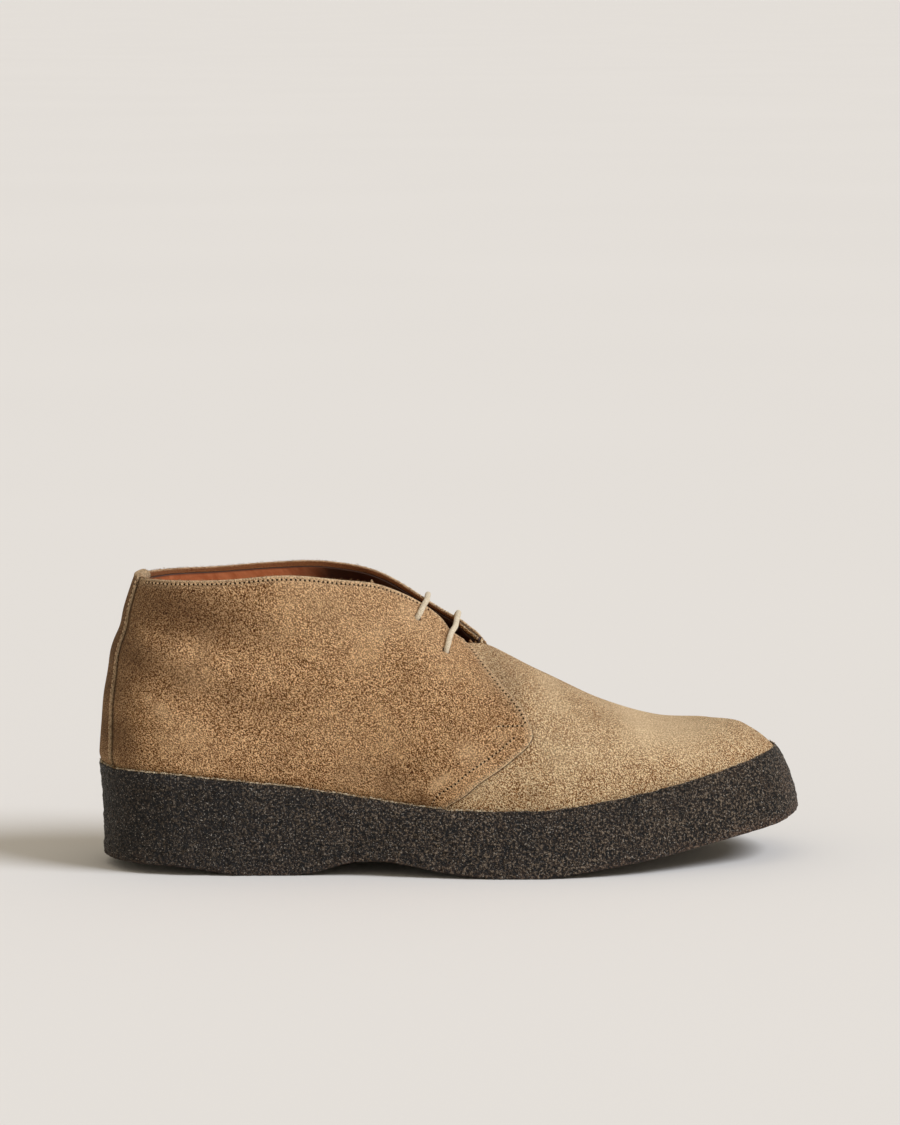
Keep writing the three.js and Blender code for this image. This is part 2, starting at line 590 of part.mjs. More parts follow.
const suede = new THREE.MeshStandardMaterial({ color: 0xa98a66, roughness: 0.95, metalness: 0 });
const suedeEdge = new THREE.MeshStandardMaterial({ color: 0x97785a, roughness: 0.95, metalness: 0 });
const lining = new THREE.MeshStandardMaterial({ color: 0x9c5a38, roughness: 0.6, metalness: 0 });
const crepe = new THREE.MeshStandardMaterial({ color: 0x2e2824, roughness: 0.85, metalness: 0 });
const cotton = new THREE.MeshStandardMaterial({ color: 0xd8cbb0, roughness: 0.8, metalness: 0 });

const boot = new THREE.Group();
const core = makeCore();
boot.add(
  meshOf("outsole", core.subtract(heelCutter(GAP)), crepe),
  meshOf("heel_lift", core.intersect(heelCutter(0)), crepe),
  meshOf("sole_wrap", makeWrap(), crepe),
  meshOf("insole", makeInsole(), lining),
  meshOf("upper", makeUpper(), suede),
  meshOf("back_strip", makeStrip(), suedeEdge),
  meshOf("tongue", makeTongue(), suede),
  ...LACE_HOLES.map((hole) => meshOf(`lace_bar_${hole.name}`, makeLaceBar(hole), cotton)),
);

// The origin lies on the floor, in the middle of the boot's box
const box = new THREE.Box3().setFromObject(boot);
const middle = box.getCenter(vec(0, 0, 0));
boot.position.set(-middle.x, -middle.y, -box.min.z);

export default boot;
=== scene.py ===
# %% [markdown]
# # A chukka boot in suede on a crepe sole
# The CAD model is loaded first, as a fixed frame that says where everything is. Each soft piece is then made
# again with a fine mesh in the same place, and given a finish. Lengths are metres, X runs from heel to toe,
# +Y is the inner side of the foot and Z is up from the floor.

# %% Load the frame
import math
import bpy
import numpy as np
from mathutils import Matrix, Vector, noise
from mathutils.bvhtree import BVHTree


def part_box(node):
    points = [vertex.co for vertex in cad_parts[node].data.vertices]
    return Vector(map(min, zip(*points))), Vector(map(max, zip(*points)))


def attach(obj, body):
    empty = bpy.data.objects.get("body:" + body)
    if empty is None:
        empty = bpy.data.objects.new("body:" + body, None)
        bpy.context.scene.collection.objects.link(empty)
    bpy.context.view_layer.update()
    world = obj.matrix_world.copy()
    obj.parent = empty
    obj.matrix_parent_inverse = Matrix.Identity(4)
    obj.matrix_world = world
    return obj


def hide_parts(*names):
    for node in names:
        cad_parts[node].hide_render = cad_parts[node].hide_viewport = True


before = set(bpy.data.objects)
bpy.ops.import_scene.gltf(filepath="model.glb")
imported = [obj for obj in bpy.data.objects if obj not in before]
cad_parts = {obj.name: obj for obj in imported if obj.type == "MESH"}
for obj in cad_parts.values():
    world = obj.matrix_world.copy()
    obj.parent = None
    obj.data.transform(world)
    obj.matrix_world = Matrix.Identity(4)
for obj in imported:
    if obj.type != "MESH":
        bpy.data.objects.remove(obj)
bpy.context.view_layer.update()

MM = 0.001
scene = bpy.context.scene
rng = np.random.default_rng(7)

# %% [markdown]
# ## The camera
# A photographer would stand about two metres from the boot's outer side with a long lens, a little above it
# and a touch behind its middle. The camera comes first, because every piece is judged through it. The lens is
# worked out from the photo's scale, so that one millimetre of boot covers as many pixels as it does there.

# %% Place the camera
PHOTO_HEIGHT_PX = 1125
PHOTO_PX_PER_M = 2300
CAMERA_DISTANCE = 2.0
CAMERA_AZIMUTH = math.radians(-5)
CAMERA_ELEVATION = math.radians(7.5)
CAMERA_TARGET = Vector((0, 0, 0.1298))

camera_data = bpy.data.cameras.new("camera")
camera_data.lens = camera_data.sensor_width * CAMERA_DISTANCE * PHOTO_PX_PER_M / PHOTO_HEIGHT_PX
camera = bpy.data.objects.new("camera", camera_data)
scene.collection.objects.link(camera)
away = Vector((
    math.sin(CAMERA_AZIMUTH) * math.cos(CAMERA_ELEVATION),
    -math.cos(CAMERA_AZIMUTH) * math.cos(CAMERA_ELEVATION),
    math.sin(CAMERA_ELEVATION),
))
camera.location = CAMERA_TARGET + away * CAMERA_DISTANCE
camera.rotation_mode = "QUATERNION"
camera.rotation_quaternion = (-away).to_track_quat("-Z", "Y")
scene.camera = camera
print("lens", round(camera_data.lens, 1), "mm")

# %% [markdown]
# ## The last
# A boot is made over a last, a wooden foot, and every panel takes its shape. Here the last is a function. A
# short table gives its sections from heel to toe, as shares of a few real sizes, and the wall of each section
# is one Bezier curve from the sole's rim up to the collar, the throat or the ridge of the vamp. The same
# function shaped the CAD pieces, so what is made from it here lands in the same place, but for the quarters'
# front edges and the inner side's collar, which were fitted to the photo once more.

# %% Sizes of the boot
LAST_LENGTH = 293.8 * MM
BALL_WIDTH = 100 * MM
UPPER_HEIGHT = 82 * MM
HEEL_RIM = 44.5 * MM
FOREFOOT_RIM = 28.7 * MM
TOE_RISE = 18 * MM
TOE_SPRING = 19.8 * MM
HEEL_BEVEL = 4.2 * MM
ARCH_RISE = 6.3 * MM
HEEL_FLARE = -2.8 * MM
BALL_FLARE = 2.2 * MM
TOE_FLARE = 7.2 * MM
HEEL_PIECE = 9 * MM
WRAP_THICKNESS = 3 * MM
WRAP_LIP = 4 * MM
WALL = 2.4 * MM
SUEDE = 1.3 * MM
INSOLE_THICKNESS = 3 * MM
GAP = 0.3 * MM
TINY = 1e-6

# %% Tables of the sole and the last
TREAD_LINE = np.array([
    (-0.02, HEEL_BEVEL), (0.03, HEEL_BEVEL), (0.1, 0.85 * HEEL_BEVEL), (0.15, 0.45 * HEEL_BEVEL), (0.2, 0),
    (0.263, 0), (0.3, 0.17 * ARCH_RISE), (0.332, 0.62 * ARCH_RISE), (0.366, 0.96 * ARCH_RISE),
    (0.4, ARCH_RISE), (0.436, 0.8 * ARCH_RISE), (0.475, 0.47 * ARCH_RISE), (0.52, 0.2 * ARCH_RISE),
    (0.57, 0), (0.632, 0), (0.69, 0.11 * TOE_SPRING), (0.768, 0.27 * TOE_SPRING), (0.841, 0.44 * TOE_SPRING),
    (0.918, 0.65 * TOE_SPRING), (1.0, 0.86 * TOE_SPRING), (1.04, TOE_SPRING),
])
# Columns: along, rim height, flare at the tread, roundness of the side
SOLE_SIDE = np.array([
    (-0.02, HEEL_RIM, HEEL_FLARE, 5),
    (0.0, HEEL_RIM, HEEL_FLARE, 5),
    (0.07, 0.992 * HEEL_RIM, 0.8 * HEEL_FLARE, 4.6),
    (0.17, 0.93 * HEEL_RIM, 0.4 * HEEL_FLARE, 3.8),
    (0.28, 0.85 * HEEL_RIM, 0, 3),
    (0.38, 0.75 * HEEL_RIM, 0.5 * BALL_FLARE, 2.2),
    (0.45, 0.688 * HEEL_RIM, 0.8 * BALL_FLARE, 1.8),
    (0.52, FOREFOOT_RIM, BALL_FLARE, 1.8),
    (0.62, FOREFOOT_RIM, BALL_FLARE, 1.8),
    (0.71, FOREFOOT_RIM + 0.16 * TOE_RISE, 1.1 * BALL_FLARE, 1.8),
    (0.82, FOREFOOT_RIM + 0.45 * TOE_RISE, 0.38 * TOE_FLARE, 1.7),
    (0.92, FOREFOOT_RIM + 0.74 * TOE_RISE, 0.66 * TOE_FLARE, 1.6),
    (1.0, FOREFOOT_RIM + TOE_RISE, TOE_FLARE, 1.6),
    (1.04, FOREFOOT_RIM + 1.1 * TOE_RISE, TOE_FLARE, 1.6),
])
SECTION_COLUMNS = "foot outer inner top up lead skew mid open facing lean fall low high".split()
SECTIONS = np.array([
    (0, 0, 0, 0.054, 0.985, 0, 0, 0, 0, 180, -3, 70, 0.37, 0.37),
    (0.023, 0.195, 0.195, 0.067, 0.992, 0, 0, 0, 0.11, 142, -2, 72, 0.35, 0.35),
    (0.08, 0.302, 0.3, 0.108, 1.008, 0, -0.004, 0, 0.205, 110, 1, 79, 0.3, 0.3),
    (0.17, 0.341, 0.332, 0.18, 1.046, 0, -0.012, 0, 0.26, 95, 2, 83, 0.3, 0.3),
    (0.278, 0.352, 0.318, 0.262, 1.1, 0, -0.018, 0, 0.28, 90, 2, 84, 0.33, 0.33),
    (0.38, 0.382, 0.297, 0.34, 1.109, 0, 0.013, 0.005, 0.255, 90, 4, 76, 0.34, 0.33),
    (0.466, 0.436, 0.315, 0.402, 1.098, 0.012, 0.007, 0.01, 0.19, 90, 5, 58, 0.35, 0.3),
    (0.53, 0.476, 0.362, 0.467, 1.009, 0.025, -0.038, 0.015, 0.12, 90, 5, 40, 0.37, 0.28),
    (0.582, 0.496, 0.412, 0.522, 0.867, 0.028, -0.015, 0.02, 0.115, 90, 5, 26, 0.39, 0.28),
    (0.615, 0.502, 0.44, 0.549, 0.808, 0.018, -0.011, 0.022, 0.08, 90, 5, 13, 0.4, 0.3),
    (0.65, 0.503, 0.466, 0.574, 0.777, 0, 0, 0.025, 0, 90, 5, 0, 0.41, 0.33),
    (0.715, 0.49, 0.492, 0.655, 0.616, 0, 0, 0.028, 0, 88, 5, 0, 0.42, 0.37),
    (0.788, 0.442, 0.488, 0.737, 0.425, 0, 0, 0.03, 0, 82, 3, 0, 0.42, 0.42),
    (0.86, 0.362, 0.438, 0.819, 0.272, 0, 0, 0.03, 0, 72, -2, 0, 0.42, 0.45),
    (0.924, 0.268, 0.35, 0.887, 0.217, 0, 0, 0.03, 0, 56, -12, 0, 0.42, 0.45),
    (0.977, 0.15, 0.222, 0.93, 0.185, 0, 0, 0.027, 0, 32, -30, 0, 0.4, 0.42),
    (1, -0.02, 0.02, 0.953, 0.15, 0, 0, 0.02, 0, 0, -45, 0, 0.36, 0.36),
])
TOE = len(SECTIONS) - 1
THROAT = 10
QUARTER_EDGE = np.array([
    (0, 6.4), (0.07, 6.88), (0.12, 7.24), (0.16, 7.6), (0.21, 8.1), (0.25, 8.64), (0.3, 9.5), (0.32, 9.7),
    (0.36, 9.78), (0.42, 9.77), (0.49, 9.68), (0.61, 9.34), (0.76, 8.94), (0.94, 8.48), (1, 8.3),
])
# How much further forward the inner quarter's top corner reaches
INNER_CORNER_LEAD = 1.55
# Lace holes: station, share of the height, and how far ahead the lace crosses the outer and the inner edge
LACE_HOLES = {"upper": (6.8, 0.88, 0.21, 0), "lower": (7.35, 0.75, 0.46, 0.15)}
SIDES = {"outer": -1, "inner": 1}


# %% Read a table smoothly
def read_table(xs, ys, at):
    """A smooth value between rows at uneven places that never overshoots them."""
    steps = np.diff(ys) / np.diff(xs)
    back = np.concatenate([[0], steps])
    ahead = np.concatenate([steps, [0]])
    same = back * ahead > 0
    slope = np.where(same, 2 * back * ahead / np.where(same, back + ahead, 1), 0)
    at = np.asarray(at, float)
    i = np.clip(np.searchsorted(xs, at, side="right") - 1, 0, len(xs) - 2)
    width = xs[i + 1] - xs[i]
    t = np.clip((at - xs[i]) / width, 0, 1)
    rise = t * t * (3 - 2 * t)
    start = t * (1 - t) ** 2 * width * slope[i]
    end = t * t * (t - 1) * width * slope[i + 1]
    return ys[i] + (ys[i + 1] - ys[i]) * rise + start + end


def sole_side_value(column, x):
    return read_table(SOLE_SIDE[:, 0], SOLE_SIDE[:, column], x / LAST_LENGTH)


def rim_height(x):
    return sole_side_value(1, x)


def tread_height(x):
    return read_table(TREAD_LINE[:, 0], TREAD_LINE[:, 1], np.asarray(x) / LAST_LENGTH)


def edge_station(height, side="outer"):
    lead = INNER_CORNER_LEAD * np.clip((height - 0.7) / 0.3, 0, 1) ** 1.5 if side == "inner" else 0
    return read_table(QUARTER_EDGE[:, 0], QUARTER_EDGE[:, 1], np.maximum(height, 0)) + lead


# %% The foot and the top of the wall at a station
def section_value(values, past_heel, past_toe, station):
    """A column of SECTIONS at a station, with what lies past the heel and the toe."""
    padded = np.concatenate([[past_heel], values, [past_toe]])
    i = np.clip(np.floor(station).astype(int), 0, TOE - 1)
    t = station - i
    a, b, c, d = (padded[i + k] for k in range(4))
    turn = 2 * a - 5 * b + 4 * c - d
    return b + 0.5 * t * (c - a + t * (turn + t * (3 * b - a - 3 * c + d)))


def column(name, station):
    values = SECTIONS[:, SECTION_COLUMNS.index(name)]
    if name == "facing":
        return section_value(values, 360 - values[1], -values[-2], station)
    if name == "open":
        return np.where(station > THROAT - TINY, 0, section_value(values, -values[1], 0, station))
    return section_value(values, values[1], values[-2], station)


def foot_point(side, station):
    outer, inner = (SECTIONS[:, SECTION_COLUMNS.index(name)] for name in ("outer", "inner"))
    here, there = (-outer, inner) if side == "outer" else (inner, -outer)
    x = column("foot", station) * LAST_LENGTH
    y = section_value(here, there[1], there[-2], station) * BALL_WIDTH
    return np.stack([x, y, rim_height(x)], -1)


def top_point(side, station):
    y = (column("mid", station) + SIDES[side] * column("open", station)) * BALL_WIDTH
    split = (station < THROAT - TINY) & (side == "inner")
    x = (column("top", station) + split * column("lead", station)) * LAST_LENGTH
    up = column("up", station) + split * column("skew", station)
    return np.stack([x, y, rim_height(x) + up * UPPER_HEIGHT], -1)


# %% A point and a normal anywhere on the last
def unit(v):
    return v / np.maximum(np.linalg.norm(v, axis=-1, keepdims=True), 1e-12)


def ridge_slope(station):
    a = top_point("inner", station - 0.01)
    b = top_point("inner", np.minimum(station + 0.01, TOE))
    return (b[..., 2] - a[..., 2]) / (b[..., 0] - a[..., 0])


def last_point(side, station, height):
    station, height = np.broadcast_arrays(np.asarray(station, float), np.asarray(height, float))
    foot, top = foot_point(side, station), top_point(side, station)
    facing, lean = np.radians(column("facing", station)), np.radians(column("lean", station))
    fall = np.radians(np.where(station > THROAT - TINY, 0, column("fall", station)))
    out = np.stack([np.cos(facing), SIDES[side] * np.sin(facing), 0 * facing], -1)
    size = np.linalg.norm(top - foot, axis=-1)
    low = out * np.sin(lean)[..., None]
    low[..., 2] = np.cos(lean)
    along = out.copy()
    along[..., 2] = np.where(facing < math.pi / 2, np.cos(facing) * ridge_slope(station), 0)
    high = unit(along) * np.cos(fall)[..., None]
    high[..., 2] -= np.sin(fall)
    low_grip = foot + low * (size * column("low", station))[..., None]
    high_grip = top + high * (size * column("high", station))[..., None]
    t = height[..., None]
    low_part = (1 - t) ** 3 * foot + 3 * t * (1 - t) ** 2 * low_grip
    return low_part + 3 * t * t * (1 - t) * high_grip + t**3 * top


def last_normal(side, station, height):
    station, height = np.broadcast_arrays(np.asarray(station, float), np.asarray(height, float))
    step = 0.01
    s0, s1 = np.maximum(station - step, 0), np.minimum(station + step, TOE)
    h0, h1 = np.maximum(height - step, 0), np.minimum(height + step, 1)
    around = last_point(side, s1, height) - last_point(side, s0, height)
    rise = last_point(side, station, h1) - last_point(side, station, h0)
    normal = np.cross(around, rise) * -SIDES[side]
    normal[..., 1] = np.where((station == 0) | (station == TOE), 0, normal[..., 1])
    slope = ridge_slope(np.minimum(station, TOE - step))
    ridge = np.stack([-slope, 0 * slope, 1 + 0 * slope], -1)
    near = np.clip((height - 0.94) / 0.06, 0, 1)
    ahead = np.clip((station - THROAT) / 0.6 + 1, 0, 1)
    share = (ahead * ahead * (3 - 2 * ahead) * near * near * (3 - 2 * near))[..., None]
    return unit(unit(normal) * (1 - share) + unit(ridge) * share)


# %% The side of the sole
def sole_side(side, station, offset, height_of):
    """Points on the sole's side. height_of turns the tread's and the rim's heights into their own."""
    station = np.asarray(station, float)
    a, b = foot_point(side, np.maximum(station - 0.01, 0)), foot_point(side, np.minimum(station + 0.01, TOE))
    along = unit((b - a) * [1, 1, 0])
    out = np.stack([along[..., 1], -along[..., 0], 0 * station], -1) * -SIDES[side]
    ends = (station == 0) | (station == TOE)
    out[..., 1] = np.where(ends, 0, out[..., 1])
    out = unit(out)
    foot = foot_point(side, station)
    flare = sole_side_value(2, foot[..., 0])
    tread = tread_height(foot[..., 0] + out[..., 0] * (offset + flare))
    z = height_of(tread, foot[..., 2])
    rise = np.clip((z - tread) / (foot[..., 2] - tread), 0, 1)
    spread = flare * (1 - rise ** sole_side_value(3, foot[..., 0]))
    point = foot + out * (offset + spread)[..., None]
    point[..., 2] = z
    return point


# %% [markdown]
# The functions above have the back of the heel at X = 0. The frame has its origin under the middle of the
# boot, so each point is shifted by where the CAD sole wrap really lies.

# %% Find the shift to the frame
WRAP_CHAMFER = 0.6 * MM

wrap_low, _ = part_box("sole_wrap")
probe = np.linspace(0, TOE, 400)
probe_offset = GAP + WRAP_THICKNESS + 0 * probe
probe_edge = sole_side("outer", probe, probe_offset, lambda tread, rim: tread + WRAP_CHAMFER)
SHIFT = np.array([wrap_low.x + GAP + WRAP_THICKNESS, wrap_low.y - probe_edge[:, 1].min(), 0])
print("shift in mm:", (SHIFT / MM).round(2))

# %% [markdown]
# ## Soft folds
# Suede never lies as true as a last. The stiff counter round the heel ends in a soft step, the thin quarter
# above it sinks a little, the ankle shows shallow hollows, and the throat's two edges are pulled down where
# they meet the vamp. They are placed as soft troughs and
# ridges between two points, in shares of the boot's length and height. Sculpting would do it too, but a list
# is easier to read and to change.

# %% Troughs and ridges
# Columns: side, along and up of the two ends, half width in mm, depth in mm, where a trough is negative
FOLDS = [
    ("both", -0.02, 0.74, 0.12, 0.70, 5, -0.7),
    ("both", -0.02, 0.60, 0.10, 0.56, 7, 0.7),
    ("outer", 0.14, 0.76, 0.30, 0.62, 8, -0.8),
    ("outer", 0.10, 0.60, 0.26, 0.46, 9, 0.5),
    ("outer", 0.02, 0.36, 0.16, 0.20, 9, 0.5),
    ("outer", 0.16, 0.44, 0.36, 0.28, 10, -0.5),
    ("outer", 0.36, 0.86, 0.44, 0.52, 8, -0.5),
    ("outer", 0.44, 0.40, 0.52, 0.12, 9, 0.4),
    ("inner", 0.12, 0.72, 0.28, 0.60, 9, -0.7),
    ("inner", 0.18, 0.44, 0.34, 0.26, 9, 0.5),
    ("inner", 0.34, 0.80, 0.42, 0.50, 8, -0.5),
    ("both", 0.64, 0.30, 0.70, 0.02, 5, -0.35),
    ("both", 0.70, 0.24, 0.75, 0.0, 4, -0.3),
    ("both", 0.60, 0.50, 0.66, 0.22, 6, 0.3),
    ("outer", 0.514, 0.89, 0.533, 0.845, 4.8, -1.9),
    ("outer", 0.548, 0.81, 0.551, 0.80, 3.2, 0.8),
    ("inner", 0.543, 0.82, 0.556, 0.795, 3.6, -1.9),
]


def fold_relief(side, point):
    along = point[..., 0] / LAST_LENGTH
    up = (point[..., 2] - rim_height(point[..., 0])) / UPPER_HEIGHT
    p = np.stack([along * LAST_LENGTH, up * UPPER_HEIGHT], -1)
    total = np.zeros(along.shape)
    for where, x0, z0, x1, z1, width, depth in FOLDS:
        if where not in (side, "both"):
            continue
        a = np.array([x0 * LAST_LENGTH, z0 * UPPER_HEIGHT])
        b = np.array([x1 * LAST_LENGTH, z1 * UPPER_HEIGHT])
        t = np.clip(((p - a) @ (b - a)) / ((b - a) @ (b - a)), 0, 1)
        gap = np.linalg.norm(p - a - t[..., None] * (b - a), axis=-1)
        total += depth * MM * np.exp(-((gap / (width * MM)) ** 2))
    return total


def upper_points(side, station, height, offset):
    """Points on the upper, offset outwards, in the frame. Below height 0 they run down inside the wrap."""
    station, height, offset = np.broadcast_arrays(
        *(np.asarray(v, float) for v in (station, height, offset))
    )
    at = np.maximum(height, 0)
    base = last_point(side, station, at)
    normal = last_normal(side, station, at)
    flat = unit(normal * [1, 1, 0])
    normal = np.where((at == 0)[..., None], flat, normal)
    fade = np.clip(at / 0.12, 0, 1)
    wall = base + normal * (offset + fade * fold_relief(side, base))[..., None]
    skirt = sole_side(side, station, offset, lambda tread, rim: rim + height * WRAP_LIP)
    return np.where((height < 0)[..., None], skirt, wall) + SHIFT


# %% [markdown]
# ## Sheets and rings
# A panel of suede is a sheet with a thickness: an outer grid of points, an inner grid, and a wall round every
# free edge. Blender's Solidify modifier makes the same, but here the inner face has to follow the last and
# the lace holes have to stay round, so the grids are joined by hand.

# %% Make a piece from points and faces
WELD_REACH = 0.02 * MM


def add_piece(name, points, faces, material, slot, *nodes):
    """A mesh that rides on the boot and stands for some CAD nodes."""
    mesh = bpy.data.meshes.new(name)
    mesh.from_pydata(np.asarray(points).tolist(), [], faces if isinstance(faces, list) else faces.tolist())
    mesh.validate()
    mesh.polygons.foreach_set("use_smooth", np.ones(len(mesh.polygons), bool))
    mesh.materials.append(material)
    piece = bpy.data.objects.new(name, mesh)
    scene.collection.objects.link(piece)
    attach(piece, "root")
    if nodes:
        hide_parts(*nodes)
    triangles = sum(len(p.vertices) - 2 for p in mesh.polygons)
    print(f"{name}: {triangles} triangles")
    return piece


def mark(piece, name, values):
    """Stores a number for each point, which the material reads."""
    layer = piece.data.attributes.new(name, "FLOAT", "POINT")
    layer.data.foreach_set("value", np.asarray(values, np.float32).ravel())


def weld_seams(piece):
    """Closes the seams where the outer and the inner half of a piece meet."""
    piece.modifiers.new("seams", "WELD").merge_threshold = WELD_REACH


# %% Join two grids into a sheet
def sheet_faces(kept, side="outer"):
    """Faces of a sheet whose outer grid comes first, then its inner one. kept says which cells are there."""
    n, m = kept.shape[0] + 1, kept.shape[1] + 1
    index = np.arange(n * m).reshape(n, m)
    corners = (index[:-1, :-1], index[1:, :-1], index[1:, 1:], index[:-1, 1:])
    outside = np.stack([c[kept] for c in corners], -1)
    inside = outside[:, ::-1] + n * m
    padded = np.pad(kept, 1)
    walls = []
    for axis in (0, 1):
        before = padded[:-1, 1:-1] if axis == 0 else padded[1:-1, :-1]
        after = padded[1:, 1:-1] if axis == 0 else padded[1:-1, 1:]
        first, second = (index[:, :-1], index[:, 1:]) if axis == 0 else (index[:-1, :], index[1:, :])
        for edge, flip in ((after & ~before, axis == 1), (before & ~after, axis == 0)):
            a, b = first[edge], second[edge]
            pair = (b, a) if flip else (a, b)
            walls.append(np.stack([pair[0], pair[1], pair[1] + n * m, pair[0] + n * m], -1))
    faces = np.concatenate([outside, inside, *walls])
    return faces if side == "outer" else faces[:, ::-1]


def whole_sheet(*grid_shape):
    """Cells of a grid of points, all there."""
    return np.ones((grid_shape[0] - 1, grid_shape[1] - 1), bool)


def both_faces(outside, inside):
    return np.concatenate([outside.reshape(-1, 3), inside.reshape(-1, 3)])


def along_edge(points, axis, from_end):
    """How far each point of a grid lies from one of its edges, along the grid."""
    steps = np.linalg.norm(np.diff(points, axis=axis), axis=-1)
    steps = np.flip(steps, axis) if from_end else steps
    run = np.cumsum(steps, axis)
    zero = np.zeros_like(np.take(run, [0], axis))
    run = np.concatenate([zero, run], axis)
    return np.flip(run, axis) if from_end else run


RAW_EDGE_RADIUS = 0.45 * MM


def rounded(distance, radius=RAW_EDGE_RADIUS):
    """How much a sheet thins towards a raw edge."""
    d = np.clip(distance / radius, 0, 1)
    return radius * (1 - np.sqrt(1 - (1 - d) ** 2))


def graded(length, step, fine_start=False, fine_end=False):
    """Shares from 0 to 1, evenly spaced, with a few close ones at a raw edge."""
    fine = np.array([0.1, 0.25, 0.5, 0.9, 1.4]) * MM / length
    shares = np.linspace(0, 1, max(int(length / step), 2) + 1)
    if fine_start:
        shares = np.concatenate([[0], fine, shares[shares > fine[-1] + 0.3 * step / length]])
    if fine_end:
        shares = np.concatenate([shares[shares < 1 - fine[-1] - 0.3 * step / length], 1 - fine[::-1], [1]])
    return shares


# %% [markdown]
# ## Suede
# Suede is the brushed inner side of a hide. Its short nap lies in tufts about a millimetre across, light
# where it catches the light and dark between, and a hand that brushes it leaves cloudy patches. Layers of
# noise give all three sizes, and the tufts' light and dark are painted into the colour as highlight and shade
# besides the bump. The numbers stored on the mesh tell the material where the nap is rubbed pale, where light
# and shade are painted on as paler and darker patches, where painted shade darkens seams and the inside, and
# where a raw edge shows.

# %% A small helper for node trees
class Finish:
    """A material's nodes, added one line at a time."""

    def __init__(self, name):
        self.material = bpy.data.materials.new(name)
        self.material.use_nodes = True
        self.tree = self.material.node_tree
        self.shader = self.tree.nodes["Principled BSDF"]
        coords = self.tree.nodes.new("ShaderNodeTexCoord")
        self.place = coords.outputs["Object"]

    def add(self, kind, links=None, **settings):
        node = self.tree.nodes.new(kind)
        for key, value in settings.items():
            setattr(node, key, value)
        for socket, value in (links or {}).items():
            target = node.inputs[socket]
            if isinstance(value, bpy.types.NodeSocket):
                self.tree.links.new(value, target)
            else:
                target.default_value = value
        return node

    def noise(self, scale, detail=2, roughness=0.5, place=None):
        links = {"Vector": place or self.place, "Scale": scale, "Detail": detail, "Roughness": roughness}
        return self.add("ShaderNodeTexNoise", links).outputs["Fac"]

    def spread(self, value, low, high, to_low=0.0, to_high=1.0):
        links = {"Value": value, "From Min": low, "From Max": high, "To Min": to_low, "To Max": to_high}
        return self.add("ShaderNodeMapRange", links, clamp=True).outputs[0]

    def mix(self, share, a, b, kind="MIX"):
        links = {"Factor": share, 6: a, 7: b}
        node = self.add("ShaderNodeMix", links, data_type="RGBA", blend_type=kind)
        return node.outputs[2]

    def math(self, kind, a, b):
        return self.add("ShaderNodeMath", {0: a, 1: b}, operation=kind).outputs[0]

    def stored(self, name):
        return self.add("ShaderNodeAttribute", attribute_name=name).outputs["Fac"]

    def bump(self, height, distance, strength=1.0, under=None):
        links = {"Height": height, "Distance": distance, "Strength": strength}
        if under:
            links["Normal"] = under
        return self.add("ShaderNodeBump", links).outputs[0]

    def wear(self, **sockets):
        for name, value in sockets.items():
            target = self.shader.inputs[name.replace("_", " ")]
            if isinstance(value, bpy.types.NodeSocket):
                self.tree.links.new(value, target)
            else:
                target.default_value = value
        return self.material


def srgb(r, g, b):
    """A colour from its 0 to 255 values."""
    linear = [((c / 255 + 0.055) / 1.055) ** 2.4 if c > 10 else c / 3294.6 for c in (r, g, b)]
    return (*linear, 1)


# %% The suede's finish
NAP_LEAN = (0.15, math.radians(42), 0)
NAP_STRETCH = (1.5, 1.0, 1.0)
TUFTS_PER_M, SPECKS_PER_M, PATCHES_PER_M, CLOUDS_PER_M = 2250, 4600, 150, 40
NAP_DEPTH = 1.5 * MM


